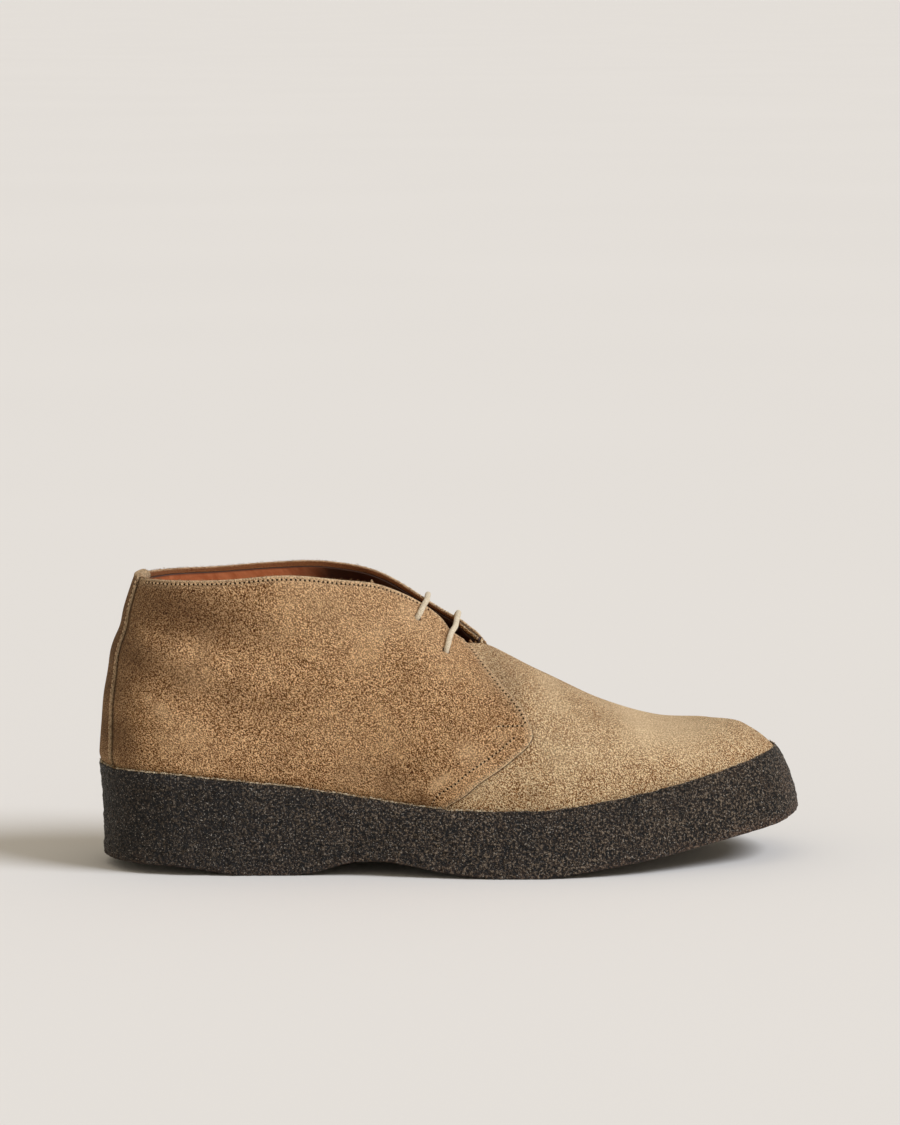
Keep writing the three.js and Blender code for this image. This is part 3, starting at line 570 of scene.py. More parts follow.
def suede_finish(name, dark, middle, light, raw, flesh):
    f = Finish(name)
    lean = f.add("ShaderNodeMapping", {"Vector": f.place, "Rotation": NAP_LEAN, "Scale": NAP_STRETCH},
                 vector_type="TEXTURE").outputs[0]
    tuft = f.noise(TUFTS_PER_M, 2, 0.6, place=lean)
    speck = f.noise(SPECKS_PER_M, 1, 0.5, place=lean)
    cloud = f.noise(CLOUDS_PER_M, 3, 0.55)
    patch = f.noise(PATCHES_PER_M, 2, 0.5)
    tone = f.stored("tone")
    nap = f.math("ADD", f.math("MULTIPLY", tuft, 0.75), f.math("MULTIPLY", speck, 0.25))
    # The nap's dark, middle and light colours are partly the suede's own grain and partly painted shade
    # between the tufts and painted highlight on them.
    colour = f.mix(f.spread(nap, 0.44, 0.505), dark, middle)
    colour = f.mix(f.spread(nap, 0.505, 0.57), colour, light)
    colour = f.mix(f.spread(cloud, 0.5, 0.72, 0.0, 0.22), colour, light)
    colour = f.mix(f.spread(cloud, 0.46, 0.28, 0.0, 0.22), colour, srgb(122, 88, 52))
    colour = f.mix(f.spread(patch, 0.44, 0.25, 0.0, 0.25), colour, srgb(134, 88, 54))
    # tone paints towards pale and deep: partly rubbed or darker nap, and partly painted light where the key
    # light falls, as on the toe, vamp and facings, and painted shade where it misses, as on the upper back.
    pale = f.mix(0.3, f.mix(f.spread(nap, 0.43, 0.56), middle, light), raw)
    deep = f.mix(f.spread(nap, 0.42, 0.6), srgb(48, 27, 13), srgb(124, 84, 49))
    colour = f.mix(f.spread(tone, 0.0, 1.0, 0.0, 0.85), colour, pale)
    colour = f.mix(f.spread(tone, 0.0, -1.0, 0.0, 0.9), colour, deep)
    frayed = f.math("MULTIPLY", f.stored("raw"), f.spread(nap, 0.4, 0.5, 0.35, 1.0))
    colour = f.mix(frayed, colour, raw)
    colour = f.mix(f.stored("flesh"), colour, flesh)
    # This darkening is painted shade: a line along the vamp under the quarters' front edges, a line beside
    # the back strip, and the quarters' inside towards the toe.
    colour = f.mix(f.stored("dirt_and_painted_shade"), colour, srgb(58, 38, 22))
    tufts = f.bump(f.math("ADD", nap, f.math("MULTIPLY", patch, 0.3)), NAP_DEPTH, 1.0)
    return f.wear(
        Base_Color=colour, Roughness=0.95, Specular_IOR_Level=0.1, Sheen_Weight=0.16,
        Sheen_Roughness=0.4, Sheen_Tint=srgb(238, 218, 186), Normal=tufts,
    )


suede = suede_finish(
    "suede", dark=srgb(74, 40, 16), middle=srgb(176, 124, 76), light=srgb(255, 211, 158),
    raw=srgb(240, 210, 168), flesh=srgb(168, 104, 62),
)
# The vamp's suede is the same suede in paler colours: painted light where the key light falls on the vamp and
# the toe.
suede_painted_lit = suede_finish(
    "suede_painted_lit", dark=srgb(96, 58, 28), middle=srgb(202, 150, 98), light=srgb(255, 230, 184),
    raw=srgb(248, 224, 186), flesh=srgb(140, 84, 50),
)
print("suede made of", len(suede.node_tree.nodes), "nodes")

# %% [markdown]
# ## The quarters
# The two quarters wrap the ankle and lap over the vamp in front. They are the boot's biggest panels. A grid
# runs from the back seam to the front edge, so that one of its lines lies along the cut edge and its first
# rows are close together there, where the raw suede shows its thickness. The lace holes are punched: cells
# inside the hole are left out, and the points round it are moved onto a circle. Beside the back strip a dark
# line of painted shade is marked, the quarter's inside is painted darker towards the toe as shade, and the
# inner quarter's top corner is skived thin.

# %% Where the suede is painted lighter or darker: rubbed nap, and painted light and shade
# Columns: side, along, height above the floor in mm, radius in mm, tone from -1 for dark to 1 for pale
TONES = [
    ("outer", 0.121, 112, 15, -0.65), ("outer", 0.18, 108.5, 13, -0.4), ("outer", 0.072, 119, 14, -0.5),
    ("outer", 0.03, 108, 11, -0.35), ("outer", 0.24, 104, 12, -0.2), ("outer", 0.48, 97, 9, 0.3),
    ("outer", 0.068, 102, 5, 0.25), ("outer", 0.121, 97.5, 5, 0.4), ("outer", 0.182, 93, 5.5, 0.35),
    ("outer", 0.235, 87.5, 6, 0.3), ("outer", 0.061, 91, 8, -0.55), ("outer", 0.114, 85, 9, -0.5),
    ("outer", 0.182, 78.5, 9, -0.4), ("outer", 0.25, 76, 9, -0.25), ("outer", 0.027, 94, 9, -0.6),
    ("outer", 0.016, 78.5, 8, -0.7), ("outer", 0.016, 60.5, 9, -0.8), ("outer", 0.031, 49.5, 8, -0.45),
    ("outer", 0.078, 72, 2.6, 0.7), ("outer", 0.062, 76, 2.2, 0.6), ("outer", 0.09, 69, 3, 0.4),
    ("outer", 0.095, 58.5, 8, 0.3), ("outer", 0.121, 127, 5, 0.4), ("outer", 0.19, 128, 6, 0.3),
    ("outer", 0.355, 112, 20, 0.3), ("outer", 0.30, 124, 11, 0.35), ("outer", 0.454, 92, 11, -0.15),
    ("outer", 0.40, 104, 5, 0.35), ("outer", 0.45, 110, 8, 0.5), ("outer", 0.33, 62, 12, 0.2),
    ("outer", 0.416, 40.5, 8, -0.5), ("outer", 0.35, 45, 8, -0.3), ("outer", 0.46, 34, 5, -0.65),
    ("outer", 0.25, 50, 7, -0.25), ("outer", 0.524, 54, 4.5, 0.7), ("outer", 0.474, 38.5, 2.4, 1.0),
    ("outer", 0.482, 41, 2.4, 1.0), ("outer", 0.492, 43.5, 2.2, 0.9), ("outer", 0.545, 50, 4, 0.45),
    ("outer", 0.575, 60, 5, 0.3), ("outer", 0.574, 86, 10, -0.32), ("outer", 0.60, 75, 9, -0.3),
    ("outer", 0.635, 72, 10, 0.25), ("outer", 0.60, 93, 4, 0.3), ("outer", 0.66, 80, 7, 0.4),
    ("outer", 0.69, 54, 12, 0.35), ("outer", 0.75, 47, 9, 0.1), ("outer", 0.79, 63, 11, 0.85),
    ("outer", 0.85, 62, 10, 0.75), ("outer", 0.915, 66, 8, 0.45), ("outer", 0.88, 52, 8, 0.2),
    ("outer", 0.56, 40, 8, 0.15), ("outer", 0.62, 36, 7, -0.2), ("outer", 0.96, 57, 6, 0.2),
    ("inner", 0.12, 110, 13, -0.5), ("inner", 0.30, 70, 14, -0.35), ("inner", 0.42, 46, 9, -0.4),
    ("inner", 0.20, 92, 11, 0.35), ("inner", 0.36, 112, 14, 0.3), ("inner", 0.10, 62, 9, 0.3),
    ("inner", 0.50, 46, 4, 0.9), ("inner", 0.55, 62, 6, 0.4), ("inner", 0.79, 63, 11, 0.85),
    ("inner", 0.85, 62, 10, 0.75), ("inner", 0.71, 52, 12, 0.3), ("inner", 0.60, 93, 6, 0.5),
]


def tone_marks(side, points):
    x, z = points[..., 0] - SHIFT[0], points[..., 2]
    total = np.zeros(x.shape)
    for where, along, height, radius, strength in TONES:
        if where == side:
            gap = np.hypot(x - along * LAST_LENGTH, z - height * MM) / (radius * MM)
            total += strength * np.exp(-(gap**2))
    return np.clip(total, -1, 1)


# %% Sizes of the panels
LACE_HOLE_RADIUS = 1.75 * MM
GRID_STEP = 0.95 * MM
WALL_SPAN = 0.085
QUARTER_SPAN = 0.17
BED = 0.05 * MM
LOW_EDGE = 0.33
PANEL_HEIGHTS = np.concatenate([[-0.6, -0.2], graded(WALL_SPAN, GRID_STEP, fine_end=True)])
CORNER_SKIVE = 0.95 * MM
STRIP_FOOT_HALF = 16 * MM
STRIP_TOP_HALF = {"outer": 6 * MM, "inner": 11 * MM}


def strip_half(side, height):
    """How far the back strip, which covers the seam, reaches round one side."""
    return STRIP_FOOT_HALF + (STRIP_TOP_HALF[side] - STRIP_FOOT_HALF) * height


# %% Punch the lace holes
def punch(points, normal, centre, kept, radius):
    """Leaves out the cells inside a hole and rounds its edge."""
    spokes = points - centre
    spokes = spokes - normal * (spokes @ normal)[..., None]
    gap = np.linalg.norm(spokes, axis=-1)
    middle = (gap[:-1, :-1] + gap[1:, :-1] + gap[:-1, 1:] + gap[1:, 1:]) / 4
    cut = middle < radius
    kept &= ~cut
    near = np.zeros(gap.shape, bool)
    for di in (0, 1):
        for dj in (0, 1):
            near[di:di + cut.shape[0], dj:dj + cut.shape[1]] |= cut
    keeps = np.pad(kept, 1)
    touches = keeps[:-1, :-1] | keeps[1:, :-1] | keeps[:-1, 1:] | keeps[1:, 1:]
    rim = near & touches
    points[rim] += (unit(spokes) * (radius - gap)[..., None])[rim]


# %% Cut the quarters
def make_quarter(side):
    shares, heights = graded(QUARTER_SPAN, GRID_STEP, fine_end=True), PANEL_HEIGHTS
    station = shares[:, None] * edge_station(heights, side)[None, :]
    plain = upper_points(side, station, heights[None, :] + 0 * station, 0)
    front, top = along_edge(plain, 0, True), along_edge(plain, 1, True)
    thin = np.maximum(rounded(front), rounded(top))
    ramp = np.clip(heights / 0.04, 0, 1)[None, :]
    corner = np.clip((station - 8.5) / 1.0, 0, 1) * np.clip((heights[None, :] - 0.8) / 0.2, 0, 1)
    skived = (CORNER_SKIVE * corner * corner * (3 - 2 * corner)) if side == "inner" else 0
    outside = upper_points(side, station, heights[None, :], SUEDE * ramp - np.maximum(thin, skived))
    inside = upper_points(side, station, heights[None, :], BED * ramp + np.minimum(thin, 0.4 * SUEDE) * ramp)
    kept = whole_sheet(len(shares), len(heights))
    for at, height, *_ in LACE_HOLES.values():
        centre = upper_points(side, at, height, SUEDE)
        normal = last_normal(side, at, height)
        kept_inside = kept.copy()
        punch(outside, normal, centre, kept, LACE_HOLE_RADIUS)
        punch(inside, normal, centre, kept_inside, LACE_HOLE_RADIUS)
        kept &= kept_inside
    faces = sheet_faces(kept, side)
    piece = add_piece(f"quarter_{side}", both_faces(outside, inside), faces, suede, "suede", "upper")
    edge = np.minimum(front, top)
    round_back = along_edge(plain, 0, False)
    strip_edge = strip_half(side, np.maximum(heights, 0))[None, :]
    # A dark line of painted shade beside the back strip's edge.
    strip_side_shade = 0.85 * np.exp(-(((round_back - strip_edge - 0.5 * MM) / (0.6 * MM)) ** 2))
    on_front = np.where(heights < LOW_EDGE, 1.0, 0.5)[None, :]
    bright = np.where(front < top, on_front, 0.8) * (1 - 0.8 * corner)
    band = 0.34 * np.clip(1 - edge / (4 * MM), 0, 1) ** 0.6
    raw = bright * np.clip(1 - edge / (1.0 * MM), 0, 1) * 0.8 + band
    flesh = np.clip(edge / (0.8 * MM), 0.25, 0.9)
    # The quarter's inside is painted darker towards the toe, as shade where little light gets in.
    inside_shade = 0.3 * np.clip(((plain[..., 0] - SHIFT[0]) / LAST_LENGTH - 0.38) / 0.1, 0, 1)
    tone = tone_marks(side, outside)
    mark(piece, "raw", np.concatenate([raw, raw * 0.5]))
    mark(piece, "tone", np.concatenate([tone, 0 * tone]))
    mark(piece, "flesh", np.concatenate([0 * flesh, flesh]))
    mark(piece, "dirt_and_painted_shade", np.concatenate([strip_side_shade, inside_shade]))
    return piece, outside


quarters = {side: make_quarter(side) for side in SIDES}

# %% [markdown]
# ## The vamp
# The vamp covers the toes and the instep in one piece and runs back under the quarters, where they are
# stitched down on it. Both of its halves meet on the ridge, so they are built as one sheet that goes up one
# side and down the other.

# %% Cut the vamp
VAMP_UNDERLAP = 0.75
VAMP_SPAN = 0.15
SEAM_SHADE_WIDTH = 0.55 * MM


def vamp_stations(heights):
    """Columns of stations, the first few hidden under the quarter and the rest on to the toe."""
    edge = edge_station(heights)[None, :]
    hidden = np.linspace(-VAMP_UNDERLAP, 0, 9)[:-1, None]
    ahead = 1 - (1 - graded(VAMP_SPAN, GRID_STEP, fine_start=True)[:, None]) ** 1.1
    return np.concatenate([edge + hidden, edge + (TOE - edge) * ahead]), len(hidden)


def make_vamp():
    heights = PANEL_HEIGHTS
    station, hidden = vamp_stations(heights)
    points, faces, marks = [], [], {"tone": [], "raw": [], "dirt_and_painted_shade": []}
    for side in SIDES:
        plain = upper_points(side, station, heights[None, :], 0)
        open_edge = np.where(station < THROAT, along_edge(plain, 1, True), 1)
        thin = rounded(open_edge)
        outside = upper_points(side, station, heights[None, :], -thin)
        inside = upper_points(side, station, heights[None, :], thin * 0.8 - SUEDE)
        faces.append(sheet_faces(whole_sheet(*station.shape), side) + sum(len(p) for p in points))
        points.append(both_faces(outside, inside))
        # A line of painted shade on the vamp just ahead of the quarter's front edge, wider low down, and full
        # shade where the vamp runs under the quarter.
        beyond = along_edge(plain[hidden:], 0, False)
        width = SEAM_SHADE_WIDTH * np.where(heights < LOW_EDGE, 1.5, 0.9)
        dirt_and_painted_shade = np.concatenate([np.ones((hidden, len(heights))), np.exp(-((beyond / width) ** 2))])
        raw = np.clip(1 - open_edge / (0.7 * MM), 0, 1) * 0.6
        for name, values in (("tone", tone_marks(side, outside)), ("raw", raw), ("dirt_and_painted_shade", dirt_and_painted_shade * 0.8)):
            marks[name] += [values.ravel(), 0 * values.ravel()]
    piece = add_piece("vamp", np.concatenate(points), np.concatenate(faces), suede_painted_lit, "suede", "upper")
    for name, values in marks.items():
        mark(piece, name, np.concatenate(values))
    weld_seams(piece)


make_vamp()

# %% [markdown]
# ## Lining and insole
# Inside, the quarters are lined with smooth reddish-brown leather. It stops a few millimetres below the
# collar, where a band of bare suede shows, and a dark line of painted shade and dirt runs along its cut edge.
# Towards the toes little light comes in, so the leather is marked darker there as painted shade. The insole
# sock is the same leather laid on the insole board.

# %% The lining leather
def leather_finish(name, base, deep):
    f = Finish(name)
    pore = f.noise(1500, 2, 0.5)
    slant = f.add("ShaderNodeMapping", {"Vector": f.place, "Rotation": (0, math.radians(55), 0),
                                        "Scale": (3.0, 1.0, 1.0)}, vector_type="TEXTURE").outputs[0]
    crease = f.noise(300, 3, 0.6, place=slant)
    colour = f.mix(f.spread(crease, 0.35, 0.7), base, deep)
    # gloom paints shade over the leather: towards the toes, and with some dirt along the cut edge.
    colour = f.mix(f.stored("gloom"), colour, srgb(22, 8, 4))
    bump = f.bump(pore, 0.0003, 0.3, f.bump(crease, 0.0008, 0.4))
    return f.wear(Base_Color=colour, Roughness=0.5, Specular_IOR_Level=0.35, Normal=bump)


lining_leather = leather_finish("lining_leather", srgb(222, 138, 90), srgb(190, 106, 62))


# %% Line the boot
LINING_DROP = 2.3 * MM
LINING_THICKNESS = 1.0 * MM
LINING_EDGE_RADIUS = 0.35 * MM
LINING_SPAN = 0.32


def inner_offset(station, height):
    """The offset of the boot's inside wall, which steps in where the vamp runs under the quarter."""
    behind = edge_station(height) - station
    return np.clip((behind - 0.5) / 0.5, 0, 1) * np.clip(height / 0.04, 0, 1) * SUEDE - WALL


def make_lining():
    shares = graded(LINING_SPAN, 1.6 * MM)
    levels = graded(WALL_SPAN, 1.2 * MM, fine_end=True)
    points, faces, gloom = [], [], []
    for side in SIDES:
        station = (TOE * shares)[:, None] + 0 * levels[None, :]
        tall = np.linalg.norm(last_point(side, station, 1.0) - last_point(side, station, 0.0), axis=-1)
        drop = np.clip((THROAT - station) / 0.25, 0, 1) * LINING_DROP / tall
        height = levels[None, :] * (1 - drop)
        face = inner_offset(station, height)
        inside = upper_points(side, station, height, face)
        thin = np.where(station < THROAT, rounded(along_edge(inside, 1, True), LINING_EDGE_RADIUS), 0)
        inside = upper_points(side, station, height, face + thin)
        outside = upper_points(side, station, height, face + LINING_THICKNESS)
        faces.append(sheet_faces(whole_sheet(*station.shape), side) + sum(len(p) for p in points))
        points.append(both_faces(outside, inside))
        # Painted shade: darker towards the toes, and a dark line of shade and dirt at the top cut edge.
        ahead = np.clip(((inside[..., 0] - SHIFT[0]) / LAST_LENGTH - 0.265) / 0.075, 0, 1)
        rim = np.clip(1.4 - along_edge(inside, 1, True) / (0.8 * MM), 0, 1)
        shade = np.maximum(0.95 * ahead, 0.95 * rim).ravel()
        gloom += [shade, shade]
    points, faces = np.concatenate(points), np.concatenate(faces)
    piece = add_piece("lining", points, faces, lining_leather, "lining", "upper")
    mark(piece, "gloom", np.concatenate(gloom))
    weld_seams(piece)


make_lining()


# %% Lay the insole sock
def span_grid(stations, level, offset, height_of, across):
    """A grid from the outer side of the sole to the inner one."""
    a, b = (sole_side(side, stations, offset + 0 * stations, level) for side in SIDES)
    t = across[None, :, None]
    grid = a[:, None] * (1 - t) + b[:, None] * t
    grid[..., 2] = height_of(grid[..., 0], across[None, :])
    return grid + SHIFT


INSOLE_DISH = 0.5 * MM


def insole_level(tread, rim):
    return rim - WRAP_LIP + INSOLE_THICKNESS


def dished_top(x, t):
    return rim_height(x) - WRAP_LIP + INSOLE_THICKNESS - INSOLE_DISH * (4 * t * (1 - t)) ** 2


def make_insole():
    ends = np.linspace(0, 0.4, 9)
    stations = np.concatenate([ends[:-1], np.linspace(0.4, 15.6, 180), np.linspace(15.6, 16, 9)[1:]])
    across = (1 - np.cos(np.linspace(0, math.pi, 61))) / 2
    edge = -WALL - 1.2 * GAP
    top = span_grid(stations, insole_level, edge, dished_top, across)
    bottom = span_grid(stations, insole_level, edge, lambda x, t: rim_height(x) - WRAP_LIP + 0 * t, across)
    faces = sheet_faces(whole_sheet(len(stations), len(across)))
    add_piece("insole_sock", both_faces(top, bottom), faces, lining_leather, "lining", "insole")


make_insole()

# %% [markdown]
# ## The crepe sole
# Crepe is raw rubber in sheets. It dries with a crumpled skin, full of small ridges that catch the light. The
# sole here is a core with a heel lift, and a strip of crepe wrapped round both and over the foot of the
# upper. The wrap is a ring whose cross-section is swept round the sole. Its crumple is real geometry for the
# larger ridges and bump for the finest, and its colour carries painted shade in the gaps, painted highlights
# and glints on the ridges, and painted shade towards the heel.

# %% The crepe's finish
PEBBLES_PER_M, GRAINS_PER_M, GLINTS_PER_M, BROADS_PER_M = 950, 2200, 1700, 55
PEBBLE_DEPTH = 4.5 * MM


def crepe_finish():
    f = Finish("crepe")
    pebble = f.noise(PEBBLES_PER_M, 2, 0.65)
    grit = f.noise(GRAINS_PER_M, 2, 0.55)
    glint = f.noise(GLINTS_PER_M, 1, 0.5)
    broad = f.noise(BROADS_PER_M, 3, 0.5)
    dark, warm, pale = srgb(4, 3, 2), srgb(64, 50, 37), srgb(176, 156, 132)
    relief = f.math("ADD", f.math("MULTIPLY", pebble, 0.7), f.math("MULTIPLY", grit, 0.3))
    # The gaps between the pebbles are painted near black as shade, and their tops paler as highlight.
    colour = f.mix(f.spread(relief, 0.46, 0.51), dark, warm)
    colour = f.mix(f.spread(relief, 0.54, 0.64, 0.0, 0.8), colour, pale)
    colour = f.mix(f.spread(broad, 0.5, 0.3, 0.0, 0.45), colour, dark)
    # Painted shade, darker towards the heel, where the crepe is less lit.
    colour = f.mix(f.stored("heel_painted_shade"), colour, dark)
    rust = f.mix(f.spread(relief, 0.42, 0.6), srgb(40, 26, 18), srgb(124, 90, 68))
    colour = f.mix(f.stored("scuff"), colour, rust)
    # Painted glints: pale specks in the colour where the key light would catch the crepe.
    colour = f.mix(f.spread(glint, 0.66, 0.71, 0.0, 0.75), colour, srgb(206, 196, 182))
    return f.wear(
        Base_Color=colour, Roughness=0.55, Specular_IOR_Level=0.35, Normal=f.bump(relief, PEBBLE_DEPTH, 1.0),
    )


crepe = crepe_finish()


# %% Crumple a skin of crepe
def crumple(points, size, seed):
    """A rough value from about -1 to 1 for each point, with ridges of a size."""
    offset = Vector((seed * 3.7, seed * 1.3, seed * 2.1))
    flat = (np.asarray(points).reshape(-1, 3) / size).tolist()
    values = [noise.noise(Vector(p) + offset) for p in flat]
    return np.array(values).reshape(np.shape(points)[:-1])


# %% Wrap the sole's edge
WRAP_STEP = 0.62 * MM
WRAP_FOOT = 0.15 * MM
SKIVE = 1.3 * MM
TOE_SKIVE = 1.6 * MM
TOE_LIP = 1.1 * MM
CRUMPLE_DEPTH = 0.36 * MM
WAVE_DEPTH = 0.35 * MM


def ring_stations(step):
    """Stations round the sole, up the outer side and back down the inner one, evenly spaced."""
    fine = np.linspace(0, TOE, 3000)
    shares = []
    for side in SIDES:
        run = along_edge(foot_point(side, fine)[:, None], 0, False)[:, 0]
        count = int(run[-1] / step)
        shares.append(np.interp(np.linspace(0, run[-1], count + 1), run, fine))
    return shares


def make_wrap():
    outer_s, inner_s = ring_stations(WRAP_STEP)
    full = GAP + WRAP_THICKNESS
    profile = [(0, GAP + 0.4 * MM), (0, full - 0.5 * MM), (0.005, full - 0.15 * MM)]
    profile += [(r, full - SKIVE * max((r - 0.86) / 0.14, 0) ** 2) for r in np.linspace(0.012, 0.99, 62)]
    profile += [(0.998, full - SKIVE - 0.25 * MM), (1.004, full - SKIVE - 0.7 * MM), (1.0, 0.7 * MM)]
    profile += [(0.985, 0.1 * MM), (0.6, GAP), (0.2, GAP)]
    level, offset = np.array(profile).T

    def height_of(tread, rim):
        return tread + WRAP_FOOT + (rim - tread - WRAP_FOOT) * level[None, :]

    rings = []
    for side, stations in (("outer", outer_s), ("inner", inner_s[-2:0:-1])):
        grid_s = stations[:, None] + 0 * level[None, :]
        rings.append(sole_side(side, grid_s, offset[None, :] + 0 * grid_s, height_of))
    points = np.concatenate(rings) + SHIFT
    count, depth = points.shape[:2]
    out = unit(np.cross(np.roll(points, -1, 0) - np.roll(points, 1, 0), [0, 0, 1]))
    outward = np.clip((offset - GAP - 0.4 * MM) / (WRAP_THICKNESS - 0.4 * MM), 0, 1)[None, :]
    rough = CRUMPLE_DEPTH * crumple(points, 2.4 * MM, 1) + CRUMPLE_DEPTH * crumple(points, 1.4 * MM, 2)
    wave = WAVE_DEPTH * crumple(points, 14 * MM, 3)
    near_toe = np.clip(((points[..., 0] - SHIFT[0]) / LAST_LENGTH - 0.86) / 0.12, 0, 1)
    thinned = TOE_SKIVE * near_toe * np.clip((level - 0.3) / 0.7, 0, 1)[None, :] ** 1.3
    lip = near_toe * np.clip((level - 0.9) / 0.1, 0, 1)[None, :]
    points = points + out * ((rough + wave - thinned) * outward - 0.7 * TOE_LIP * lip)[..., None]
    points[..., 2] += TOE_LIP * lip
    top = np.clip((level - 0.96) / 0.04, 0, 1)[None, :]
    points[..., 2] += top * (0.4 * MM * crumple(points, 6 * MM, 4) + 0.3 * MM * crumple(points, 1.7 * MM, 5))
    back = np.exp(-(((points[..., 0] - SHIFT[0]) / (7 * MM)) ** 2)) * top * outward
    points[..., 0] -= back * (0.8 * MM + 0.8 * MM * crumple(points, 2.2 * MM, 8))
    index = np.arange(count * depth).reshape(count, depth)
    right, down = np.roll(index, -1, 0), np.roll(index, -1, 1)
    faces = np.stack([index, right, np.roll(right, -1, 1), down], -1).reshape(-1, 4)
    piece = add_piece("crepe_wrap", points.reshape(-1, 3), faces, crepe, "crepe", "sole_wrap")
    foot = np.clip(1 - level / 0.2, 0, 1)[None, :]
    toe = np.clip((points[..., 0] - SHIFT[0]) / LAST_LENGTH * 4 - 3.3, 0, 1)
    rust = np.clip(0.35 * foot + 0.5 * toe * (0.35 + foot) + 0.25 * crumple(points, 9 * MM, 9) - 0.1, 0, 0.6)
    mark(piece, "scuff", rust)
    along = (points[..., 0] - SHIFT[0]) / LAST_LENGTH
    # The crepe is painted darker towards the heel, as shade.
    mark(piece, "heel_painted_shade", 0.6 * np.clip(1 - along / 0.5, 0, 1))
    return points


wrap_points = make_wrap()

# %% [markdown]
# The core of the sole shows only underneath: the tread, with its arch and the sloping front of the heel. The
# crumple there only goes upwards, so that the flat spots still stand on the floor.

# %% Core and heel lift
HEEL_FRONT = 0.32 * LAST_LENGTH


def heel_line(x):
    """The top of the heel lift, from its back to where it runs out at the waist."""
    drop = tread_height(HEEL_FRONT) - HEEL_BEVEL - HEEL_PIECE
    return HEEL_BEVEL + HEEL_PIECE + np.clip(x / HEEL_FRONT, 0, 1) * drop


def tread_level(tread, rim):
    return tread


def make_tread(name, node, stations, top_level, top_of, bottom_of):
    across = np.linspace(0, 1, 84)
    top = span_grid(stations, top_level, GAP / 2, lambda x, t: top_of(x) + 0 * t, across)
    under = span_grid(stations, tread_level, GAP / 2, lambda x, t: bottom_of(x) + 0 * t, across)
    rough = 0.3 * MM * (crumple(under, 2.6 * MM, 6) + 0.5) + 0.2 * MM * (crumple(under, 1.2 * MM, 7) + 0.5)
    under[..., 2] += np.maximum(rough, 0)
    faces = sheet_faces(whole_sheet(len(stations), len(across)))
    add_piece(name, both_faces(top, under), faces, crepe, "crepe", node)


def stations_by_x(low, high, step):
    fine = np.linspace(0, TOE, 3000)
    x = foot_point("outer", fine)[:, 0]
    return np.interp(np.arange(low, high, step), x, fine)


heel_end, toe_end = np.linspace(0, 1, 24), np.linspace(15.2, TOE, 20)
sole_s = stations_by_x(8 * MM, LAST_LENGTH - 6 * MM, 1.5 * MM)
make_tread(
    "outsole_crepe", "outsole", np.unique(np.concatenate([heel_end, sole_s, toe_end])),
    lambda tread, rim: rim - WRAP_LIP - 2 * GAP,
    lambda x: rim_height(x) - WRAP_LIP - 2 * GAP,
    lambda x: np.where(x < HEEL_FRONT, heel_line(x) + GAP, tread_height(x)),
)
heel_s = np.unique(np.concatenate([heel_end, stations_by_x(8 * MM, HEEL_FRONT - GAP, 1.2 * MM)]))
make_tread("heel_lift_crepe", "heel_lift", heel_s, tread_level, heel_line, tread_height)

# %% [markdown]
# ## The back strip
# A strip of suede covers the back seam. It is narrow at the collar, more so on the outer side, folds over its
# edge and ends inside, and widens towards the sole. The path of its middle goes up the outside, over the edge
# in a half circle and down the inside, and the strip is a sheet along that path.

# %% Cut and fold the back strip
STRIP_THICKNESS = 1.2 * MM
STRIP_TUCK = 7 * MM
STRIP_BED = 0.08 * MM
STRIP_FOLD = 0.6 * MM


def station_at(distance, height):
    """The station at a distance round the back from its middle."""
    fine = np.linspace(0, 3, 301)
    run = along_edge(last_point("outer", fine, height)[:, None], 0, False)[:, 0]
    return np.interp(distance, run, fine)


def strip_points(lift):
    outside_h = graded(WALL_SPAN, 1.0 * MM)[1:] * 0.995
    turns = np.linspace(0, 1, 13)[1:-1]
    inside_h = 1 - np.linspace(0.004, 1, 9) * STRIP_TUCK / UPPER_HEIGHT
    path = [(h, 0.0) for h in outside_h] + [(0.995, t) for t in turns] + [(h, 1.0) for h in inside_h]
    across = np.linspace(-1, 1, 41)
    across = np.sign(across) * (1 - (1 - np.abs(across)) ** 1.5)
    rows = []
    for height, over in path:
        share = 1.0 if over else height
        half = np.where(across < 0, strip_half("outer", share), strip_half("inner", share))
        station = station_at(np.abs(across) * half, height)
        edge = half * (1 - np.abs(across))
        end = 1.0 if over < 1 else (height - inside_h[-1]) * UPPER_HEIGHT
        thin = np.maximum(rounded(edge), rounded(end)) * (1 if lift > STRIP_BED else -0.5)
        face = SUEDE * np.clip(height / 0.04, 0, 1)
        outer_row, inner_row = (
            np.where(
                (across < 0)[:, None],
                upper_points("outer", station, height, offset),
                upper_points("inner", station, height, offset),
            )
            for offset in (face + lift - thin, SUEDE - WALL - lift + thin)
        )
        middle = (outer_row + inner_row) / 2
        reach = (outer_row - middle) * math.cos(math.pi * over)
        row = middle + reach
        row[:, 2] += (lift - thin + STRIP_FOLD) * math.sin(math.pi * over) ** 0.7
        rows.append(row)
    return np.array(rows), across, len(outside_h)


def make_strip():
    outside, across, turn = strip_points(STRIP_BED + STRIP_THICKNESS)
    inside, _, _ = strip_points(STRIP_BED)
    faces = sheet_faces(whole_sheet(*outside.shape), "inner")
    piece = add_piece("back_strip_suede", both_faces(outside, inside), faces, suede, "suede", "back_strip")
    fray = np.clip(0.75 + 0.8 * crumple(outside, 1.3 * MM, 11), 0.2, 1)
    raw = np.clip(1 - (1 - np.abs(across)) / 0.07, 0, 1)[None, :] * fray * 0.7
    raw[turn:] = np.maximum(raw[turn:], 0.55)
    # The back strip is painted darker still, as shade on the back of the heel, away from the key light.
    tone = tone_marks("outer", outside) - 0.3
    mark(piece, "raw", np.concatenate([raw, raw]))
    mark(piece, "tone", np.concatenate([tone, tone]))
    return piece, outside, turn


strip, strip_outside, strip_turn = make_strip()

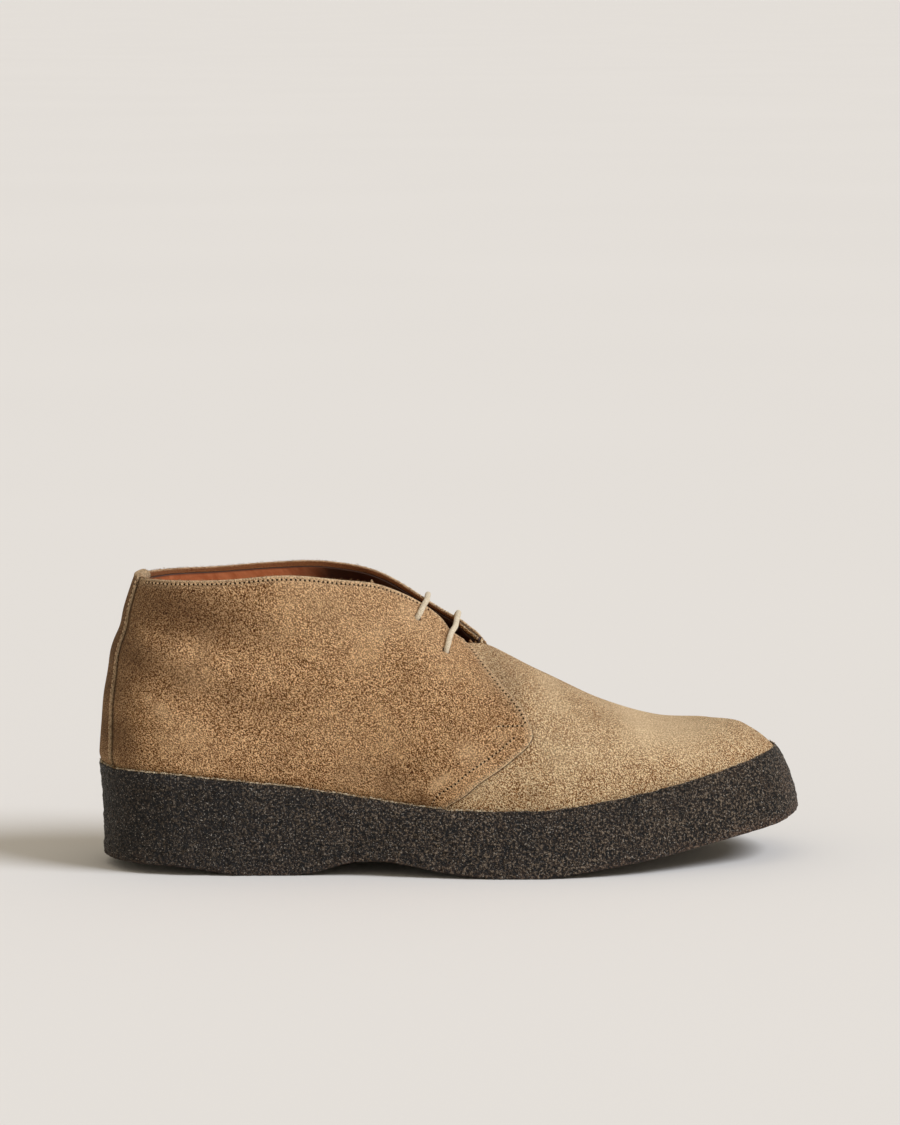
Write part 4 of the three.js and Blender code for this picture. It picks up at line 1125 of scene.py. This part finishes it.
# %% [markdown]
# ## The tongue
# The tongue is stitched under the vamp at the throat and lies loose under the facings. It is a sheet that
# follows the last with room above it for the lace, and its free end is rounded off.

# %% Cut the tongue
TONGUE_THICKNESS = 2.6 * MM
TONGUE_WIDTH = 0.34
TONGUE_ROOT = 0.5
TONGUE_TIP = 5.9
TONGUE_DIP = 1.3
TONGUE_ROOM = 2 * MM
TONGUE_DROP = 1.6
TONGUE_SPAN = 0.07
TONGUE_EDGE_RADIUS = 0.9 * MM


def curve_through(knots, count):
    """Points on a smooth curve through knots, with as many on each stretch."""
    padded = np.concatenate([[2 * knots[0] - knots[1]], knots, [2 * knots[-1] - knots[-2]]])
    made = []
    for i in range(len(knots) - 1):
        a, b, c, d = padded[i:i + 4]
        t = np.linspace(0, 1, count, endpoint=False).reshape(-1, *[1] * (knots.ndim - 1))
        made.append(b + 0.5 * t * (c - a + t * (2 * a - 5 * b + 4 * c - d + t * (3 * b - a - 3 * c + d))))
    return np.concatenate([*made, knots[-1:]])


def tongue_row(station, share, depth):
    away = np.clip((THROAT + TONGUE_ROOT - station) / TONGUE_DROP, 0, 1)
    under = WALL + GAP + (TONGUE_ROOM - GAP) * away * away * (3 - 2 * away) + depth
    round_off = math.sqrt(max(1 - max((share - 0.86) / 0.14, 0) ** 2, 0.02))
    reach = np.array([1, 0.62, 0.28]) * TONGUE_WIDTH * round_off
    wings = [upper_points(side, np.full(3, station), 1 - reach, -under) for side in SIDES]
    crest = (top_point("outer", station) + top_point("inner", station)) / 2 + SHIFT
    crest = crest - [0, 0, TONGUE_DIP * under]
    knots = np.concatenate([wings[0], [crest], wings[1][::-1]])
    return curve_through(knots, 12)


def make_tongue():
    shares = graded(TONGUE_SPAN, 1.0 * MM, fine_end=True)
    stations = [THROAT + TONGUE_ROOT + (TONGUE_TIP - THROAT - TONGUE_ROOT) * t for t in shares]
    top, under = (
        np.array([tongue_row(np.float64(s), t, depth) for s, t in zip(stations, shares)])
        for depth in (0, TONGUE_THICKNESS)
    )
    end = along_edge(top, 0, True)
    wing = np.minimum(along_edge(top, 1, False), along_edge(top, 1, True))
    thin = np.maximum(rounded(end, TONGUE_EDGE_RADIUS), rounded(wing, TONGUE_EDGE_RADIUS))
    thin = (thin / TONGUE_THICKNESS)[..., None]
    top, under = top + (under - top) * thin, under - (under - top) * thin
    faces = sheet_faces(whole_sheet(*top.shape))
    piece = add_piece("tongue_suede", both_faces(top, under), faces, suede, "suede", "tongue")
    raw = np.clip(1 - np.minimum(end, wing) / (0.8 * MM), 0, 1) * 0.5
    mark(piece, "raw", np.concatenate([raw, raw]))


make_tongue()

# %% [markdown]
# ## Stitches
# The rows of stitches follow the collar, the front edge of each quarter and the back strip, about two
# millimetres from one to the next. Each is a short thread pulled into the suede between two needle holes.
# The rows are laid on the finished panels by looking for the nearest point of the mesh, so they follow every
# fold.

# %% Lay a line on a panel
def panel_tree(piece):
    return BVHTree.FromObject(piece, bpy.context.evaluated_depsgraph_get())


def lay_on(tree, points):
    """The nearest points of a panel's outside, with their normals."""
    laid, normals = [], []
    for p in points:
        at, normal, _, _ = tree.find_nearest(Vector(p))
        laid.append(at)
        normals.append(normal)
    return np.array(laid), np.array(normals)


def offset_row(edge, normal, inwards, distance):
    """A line parallel to an edge, at a distance into the panel."""
    along = unit(np.gradient(edge, axis=0))
    across = unit(np.cross(normal, along))
    across *= np.sign(np.sum(across * inwards, -1, keepdims=True))
    return edge + across * distance


def every(points, pitch):
    """Points at even distances along a line."""
    run = along_edge(points[:, None], 0, False)[:, 0]
    at = np.arange(0.5 * pitch, run[-1], pitch)
    return np.stack([np.interp(at, run, points[:, k]) for k in range(3)], -1)


# %% The rows on each quarter
STITCH_PITCH = 2.0 * MM
EDGE_MARGIN = 1.75 * MM
SECOND_ROW_MARGIN = 6.6 * MM
BAR_LENGTH = 14 * MM
CORNER_HEIGHT = 0.375
FRONT_ROW_TOP = {"outer": 0.93, "inner": 0.9}


def edge_line(side, heights):
    station = edge_station(heights, side)
    edge = upper_points(side, station, heights, SUEDE)
    inwards = upper_points(side, station - 0.3, heights, SUEDE) - edge
    return edge, last_normal(side, station, heights), inwards


def quarter_rows(side):
    stations = np.linspace(0.85, 7.2, 140)
    collar = upper_points(side, stations, 1.0 + 0 * stations, SUEDE)
    down = upper_points(side, stations, 0.96 + 0 * stations, SUEDE) - collar
    below_collar = offset_row(collar, last_normal(side, stations, 0.985 + 0 * stations), down, EDGE_MARGIN)
    heights = np.linspace(FRONT_ROW_TOP[side], CORNER_HEIGHT, 80)
    front = offset_row(*edge_line(side, heights), EDGE_MARGIN)
    bar = front[-1] - np.linspace(0, BAR_LENGTH, 12)[:, None] * [1, 0, 0]
    low = np.linspace(CORNER_HEIGHT - 0.075, 0.0, 90)
    second = offset_row(*edge_line(side, low), SECOND_ROW_MARGIN)
    return [below_collar, front, bar, second]


# %% Thread and needle holes
THREAD_LENGTH = 1.3 * MM
THREAD_RADIUS = 0.24 * MM
HOLE_RADIUS = 0.5 * MM
HOLE_LIFT = 0.03 * MM
STITCH_SCATTER = 0.05 * MM


def thread_finish():
    f = Finish("thread")
    twist = f.noise(2600, 2, 0.5)
    colour = f.mix(f.spread(twist, 0.4, 0.6), srgb(176, 138, 96), srgb(232, 202, 160))
    return f.wear(Base_Color=colour, Roughness=0.8, Normal=f.bump(twist, 0.0002, 0.5))


# Needle holes are dark discs laid on the suede: painted shade where the thread goes in.
def needle_hole_shade_finish():
    f = Finish("needle_hole")
    shade = f.mix(f.noise(900, 2, 0.5), srgb(20, 11, 7), srgb(36, 22, 14))
    return f.wear(Base_Color=shade, Roughness=1.0, Specular_IOR_Level=0.0)


def capsule(length, radius, around=7):
    """A short thread along X, bowed up in the middle and sunk at its ends."""
    stops = np.array([-1, -0.8, -0.4, 0, 0.4, 0.8, 1])
    girth = np.array([0.25, 0.8, 1, 1, 1, 0.8, 0.25])
    lift = 0.32 * (1 - stops**2) - 0.12
    turn = np.linspace(0, 2 * math.pi, around, endpoint=False)
    rings = []
    for stop, wide, high in zip(stops, girth, lift):
        across, up = wide * radius * np.cos(turn), wide * radius * np.sin(turn) + high * radius * 2
        rings.append(np.stack([np.full(around, stop * length / 2), across, up], -1))
    index = np.arange(len(stops) * around).reshape(len(stops), around)
    after = np.roll(index, -1, 1)
    faces = np.stack([index[:-1], index[1:], after[1:], after[:-1]], -1)
    return np.concatenate(rings), faces.reshape(-1, 4)


def disc(radius, around=8):
    turn = np.linspace(0, 2 * math.pi, around, endpoint=False)
    rim = np.stack([radius * np.cos(turn), radius * np.sin(turn), 0 * turn - 0.02 * MM], -1)
    points = np.concatenate([rim, [[0, 0, 0.05 * MM]]])
    faces = np.array([(k, (k + 1) % around, around, around) for k in range(around)])
    return points, faces


def scatter(template, places, alongs, normals, sizes=None):
    """Copies of a small shape, joined into one list of points and faces."""
    points, faces = template
    ahead = unit(alongs - normals * np.sum(alongs * normals, -1, keepdims=True))
    side = np.cross(normals, ahead)
    turn = np.stack([ahead, side, normals], -1)
    scale = np.ones(len(places)) if sizes is None else sizes
    made = np.einsum("nij,pj->npi", turn, points) * scale[:, None, None] + places[:, None]
    shift = (np.arange(len(places)) * len(points))[:, None, None]
    return made.reshape(-1, 3), (faces[None] + shift).reshape(-1, faces.shape[1])


# %% Sew the rows
def sew(rows, trees):
    places, alongs, normals, holes, hole_normals = [], [], [], [], []
    for row, tree in zip(rows, trees):
        spots = every(row, STITCH_PITCH)
        laid, normal = lay_on(tree, spots)
        along = np.gradient(laid, axis=0)
        places.append(laid)
        alongs.append(along)
        normals.append(normal)
        between = (laid[:-1] + laid[1:]) / 2
        pin, pin_normal = lay_on(tree, between)
        holes.append(pin)
        hole_normals.append(pin_normal)
    return [np.concatenate(v) for v in (places, alongs, normals, holes, hole_normals)]


thread, needle_hole_shade = thread_finish(), needle_hole_shade_finish()
all_rows, all_trees = [], []
for side in SIDES:
    tree = panel_tree(quarters[side][0])
    side_rows = quarter_rows(side)
    all_rows += side_rows
    all_trees += [tree] * len(side_rows)
strip_tree = panel_tree(strip)
for column_at in (3, -4):
    all_rows.append(strip_outside[3:strip_turn, column_at])
    all_trees.append(strip_tree)

places, alongs, normals, holes, hole_normals = sew(all_rows, all_trees)
jitter = rng.normal(0, STITCH_SCATTER, places.shape)
stitch_points, stitch_faces = scatter(capsule(THREAD_LENGTH, THREAD_RADIUS), places + jitter, alongs, normals)
add_piece("stitches", stitch_points, stitch_faces, thread, "suede")
# The dark discs of painted shade between the stitches stand for the needle holes.
hole_alongs = np.tile([1.0, 0.2, 0.1], (len(holes), 1))
hole_places = holes + hole_normals * HOLE_LIFT
pin_points, pin_faces = scatter(disc(HOLE_RADIUS), hole_places, hole_alongs, hole_normals)
add_piece("needle_holes", pin_points, pin_faces[:, :3], needle_hole_shade, "suede")
print(len(places), "stitches and", len(holes), "needle holes")

# %% [markdown]
# ## Crumbs and loose fibres
# Where the crepe is stuck over the suede, dried cement and torn nap stay behind as a thin broken line. The
# raw edges of the collar and the back strip shed a few fibres too. Real particles would do it, but a small
# flake, copied along each line at random angles and joined into one mesh, needs no simulation.

# %% Scatter flakes along a line
def flake(length, radius):
    """A thin splinter along X with six corners."""
    points = np.array([
        (-length / 2, 0, 0), (length / 2, 0, 0),
        (0, radius, 0), (0, -radius, 0), (0, 0, radius), (0, 0, -radius),
    ])
    faces = [(0, 2, 4), (0, 4, 3), (0, 3, 5), (0, 5, 2), (1, 4, 2), (1, 3, 4), (1, 5, 3), (1, 2, 5)]
    return points, np.array(faces)


def strew(name, lines, count, shape, spread, material, slot):
    """Flakes near some lines, each turned at random."""
    run = [along_edge(line[:, None], 0, False)[-1, 0] for line in lines]
    places = []
    for line, length in zip(lines, run):
        at = rng.uniform(0, len(line) - 1, int(count * length / sum(run)))
        places.append(np.stack([np.interp(at, np.arange(len(line)), line[:, k]) for k in range(3)], -1))
    places = np.concatenate(places)
    places = places + rng.normal(0, 1, places.shape) * spread
    alongs = unit(rng.normal(0, 1, places.shape) * [1.0, 1.0, 0.6])
    normals = unit(np.cross(alongs, rng.normal(0, 1, places.shape)))
    sizes = rng.uniform(0.5, 1.3, len(places))
    points, faces = scatter(shape, places, alongs, normals, sizes)
    add_piece(name, points, faces, material, slot)


def dust_finish():
    f = Finish("dry_cement")
    shade = f.mix(f.spread(f.noise(700, 2, 0.5), 0.4, 0.6), srgb(150, 122, 88), srgb(228, 212, 182))
    return f.wear(Base_Color=shade, Roughness=1.0, Specular_IOR_Level=0.1)


# %% Crumbs on the rim, fibres on the raw edges
LIP_COLUMN = 66
FRAYED_ROWS = 135
BALL = 0.56 * LAST_LENGTH

rim_line = wrap_points[:, LIP_COLUMN] + [0, 0, 0.2 * MM]
rim_along = rim_line[:, 0] - SHIFT[0]
behind_ball, front_rim = rim_line[rim_along < BALL], rim_line[rim_along >= BALL]
outer_rim, inner_rim = (behind_ball[behind_ball[:, 1] * SIDES[side] > 0] for side in SIDES)
collars = [quarters[side][1][:FRAYED_ROWS, -1] for side in SIDES]
strip_edges = [strip_outside[strip_turn + 5], strip_outside[:, 1], strip_outside[:, -2]]
crumb, small_crumb, fibre = flake(0.8 * MM, 0.22 * MM), flake(0.6 * MM, 0.15 * MM), flake(1.0 * MM, 0.07 * MM)
dust = dust_finish()
# Columns: piece, lines, count, shape, spread in mm, material, slot
for piece_name, lines, count, shape, spread, material, slot in (
    ("cement_crumbs", [outer_rim, inner_rim[::-1]], 4200, crumb, (0.3, 0.25, 0.16), dust, "crepe"),
    ("front_crumbs", [front_rim], 260, small_crumb, (0.3, 0.2, 0.15), dust, "crepe"),
    ("collar_fibres", collars, 1700, fibre, (0.3, 0.25, 0.25), suede, "suede"),
    ("strip_fibres", strip_edges, 420, fibre, (0.25, 0.3, 0.3), suede, "suede"),
):
    strew(piece_name, lines, count, shape, np.array(spread) * MM, material, slot)

# %% [markdown]
# ## The lace
# One thin round cotton lace runs through the four holes: two bars over the throat outside, and two short
# runs under the facings inside, where its ends stop at the upper holes. The route is a list of points that
# sit a lace's radius off the panels, and the braid is made by letting the radius of the tube swell and shrink
# along two crossing helices.

# %% Thread the lace
LACE_RADIUS = 1.22 * MM
LACE_STEP = 0.28 * MM
LACE_SMOOTHING = 35
BRAID_STRANDS = 6
BRAID_PITCH = 5.0 * MM
BRAID_SWELL = 0.045


def lace_route():
    over = SUEDE + LACE_RADIUS + 0.15 * MM
    under = SUEDE - WALL - LACE_RADIUS - 0.3 * MM

    def at(side, hole, share, offset):
        station, height, *ahead = LACE_HOLES[hole]
        forward = max(share, 0) * ahead[0 if side == "outer" else 1]
        return upper_points(side, station + forward, height + (1 - height) * share, offset)

    def half(hole, side):
        # Columns: share of the way from the hole to the throat's edge, offset from the last
        return [
            at(side, hole, share, offset)
            for share, offset in (
                (0, (over + under) / 2), (0.05, over - 0.5 * MM), (0.4, over),
                (0.8, over + 0.3 * MM), (1, over + 0.9 * MM),
            )
        ]

    def bar(hole, start, end):
        near, far = half(hole, start), half(hole, end)[::-1]
        crest = (near[-1] + far[0]) / 2 + [0, 0, 0.3 * MM]
        return near + [crest] + far

    route = [at("inner", "upper", -0.3, under), at("inner", "lower", -0.1, under)]
    route += bar("lower", "inner", "outer")
    route += [at("outer", "lower", -0.1, under), at("outer", "upper", -0.3, under)]
    route += bar("upper", "outer", "inner")
    route += [at("inner", "upper", 0.15, under - 0.6 * MM)]
    return np.array(route)


def tube(line, radius_of, around):
    """A closed tube round a line. radius_of takes the distance along it and the angle round it."""
    run = along_edge(line[:, None], 0, False)[:, 0]
    ahead = unit(np.gradient(line, axis=0))
    side = unit(np.cross(ahead[0], [0.3, 0.2, 1.0]))
    sides = []
    for a in ahead:
        side = unit(side - a * (side @ a))
        sides.append(side)
    sides = np.array(sides)
    ups = np.cross(ahead, sides)
    turn = np.linspace(0, 2 * math.pi, around, endpoint=False)
    radius = radius_of(run[:, None], turn[None, :])[..., None]
    ring = sides[:, None] * np.cos(turn)[None, :, None] + ups[:, None] * np.sin(turn)[None, :, None]
    points = (line[:, None] + ring * radius).reshape(-1, 3)
    index = np.arange(len(line) * around).reshape(len(line), around)
    faces = np.stack([index[:-1], index[1:], np.roll(index[1:], -1, 1), np.roll(index[:-1], -1, 1)], -1)
    caps = [index[0][::-1].tolist(), index[-1].tolist()]
    return points, faces.reshape(-1, 4).tolist() + caps


def braid(run, turn):
    one, two = (np.cos(BRAID_STRANDS * turn + way * 4 * math.pi * run / BRAID_PITCH) for way in (1, -1))
    return LACE_RADIUS * (1 + BRAID_SWELL * np.maximum(one, two))


def lace_finish():
    f = Finish("lace_cotton")
    fibre = f.noise(2400, 3, 0.6)
    dirt_and_painted_shade = f.noise(260, 2, 0.5)
    colour = f.mix(f.spread(fibre, 0.35, 0.6), srgb(176, 156, 124), srgb(233, 218, 190))
    colour = f.mix(f.spread(dirt_and_painted_shade, 0.5, 0.75, 0.0, 0.3), colour, srgb(150, 124, 90))
    return f.wear(Base_Color=colour, Roughness=0.85, Sheen_Weight=0.15, Normal=f.bump(fibre, 0.0003, 0.6))


def make_lace():
    smooth = every(curve_through(lace_route(), 14), LACE_STEP)
    window = np.hanning(LACE_SMOOTHING + 2)[1:-1]
    padded = np.pad(smooth, ((LACE_SMOOTHING // 2, LACE_SMOOTHING // 2), (0, 0)), mode="edge")
    line = np.stack([np.convolve(padded[:, k], window / window.sum(), "valid") for k in range(3)], -1)
    points, faces = tube(line, braid, 20)
    add_piece("lace", points, faces, lace_finish(), "lace", "lace_bar_upper", "lace_bar_lower")
    print("lace", round(len(line) * LACE_STEP / MM), "mm long")


make_lace()

# %% [markdown]
# ## Floor and light
# The boot stands on a pale seamless floor in a studio. A curved sweep would do, but with a long lens that
# looks down, a wide flat floor already fills the whole picture. The main light is a soft sun from the upper
# right, because a sun is as bright far away as near, so the floor keeps one tone. The pale world around the
# boot fills the shadows.

# %% Floor and lights
FLOOR_HALF = 60.0
SUN_SOFTNESS = math.radians(26)
SUN_FROM = Vector((0.80, -0.42, 0.86))
SUN_STRENGTH, SUN_COLOUR = 2.62, (0.84, 0.89, 1.0)
WORLD_STRENGTH, WORLD_COLOUR = 0.5, (1.0, 0.92, 0.79, 1)


def make_floor():
    f = Finish("studio_floor")
    tone = f.mix(f.noise(1.5, 1, 0.4), srgb(229, 225, 219), srgb(232, 228, 222))
    material = f.wear(Base_Color=tone, Roughness=0.95, Specular_IOR_Level=0.1)
    mesh = bpy.data.meshes.new("studio_floor")
    corners = [(x * FLOOR_HALF, y * FLOOR_HALF, 0) for x, y in ((-1, -1), (1, -1), (1, 1), (-1, 1))]
    mesh.from_pydata(corners, [], [(0, 1, 2, 3)])
    mesh.materials.append(material)
    floor = bpy.data.objects.new("studio_floor", mesh)
    scene.collection.objects.link(floor)


def soft_sun(name, towards_light, softness, strength, colour):
    data = bpy.data.lights.new(name, "SUN")
    data.angle, data.energy, data.color = softness, strength, colour
    sun = bpy.data.objects.new(name, data)
    sun.location = towards_light * 2
    sun.rotation_mode = "QUATERNION"
    sun.rotation_quaternion = (-towards_light).to_track_quat("-Z", "Y")
    scene.collection.objects.link(sun)


make_floor()
soft_sun("key", SUN_FROM, SUN_SOFTNESS, SUN_STRENGTH, SUN_COLOUR)
world = bpy.data.worlds.new("studio")
world.use_nodes = True
backdrop = world.node_tree.nodes["Background"].inputs
backdrop["Color"].default_value = WORLD_COLOUR
backdrop["Strength"].default_value = WORLD_STRENGTH
scene.world = world
scene.view_settings.view_transform = "Standard"
scene.view_settings.look = "None"
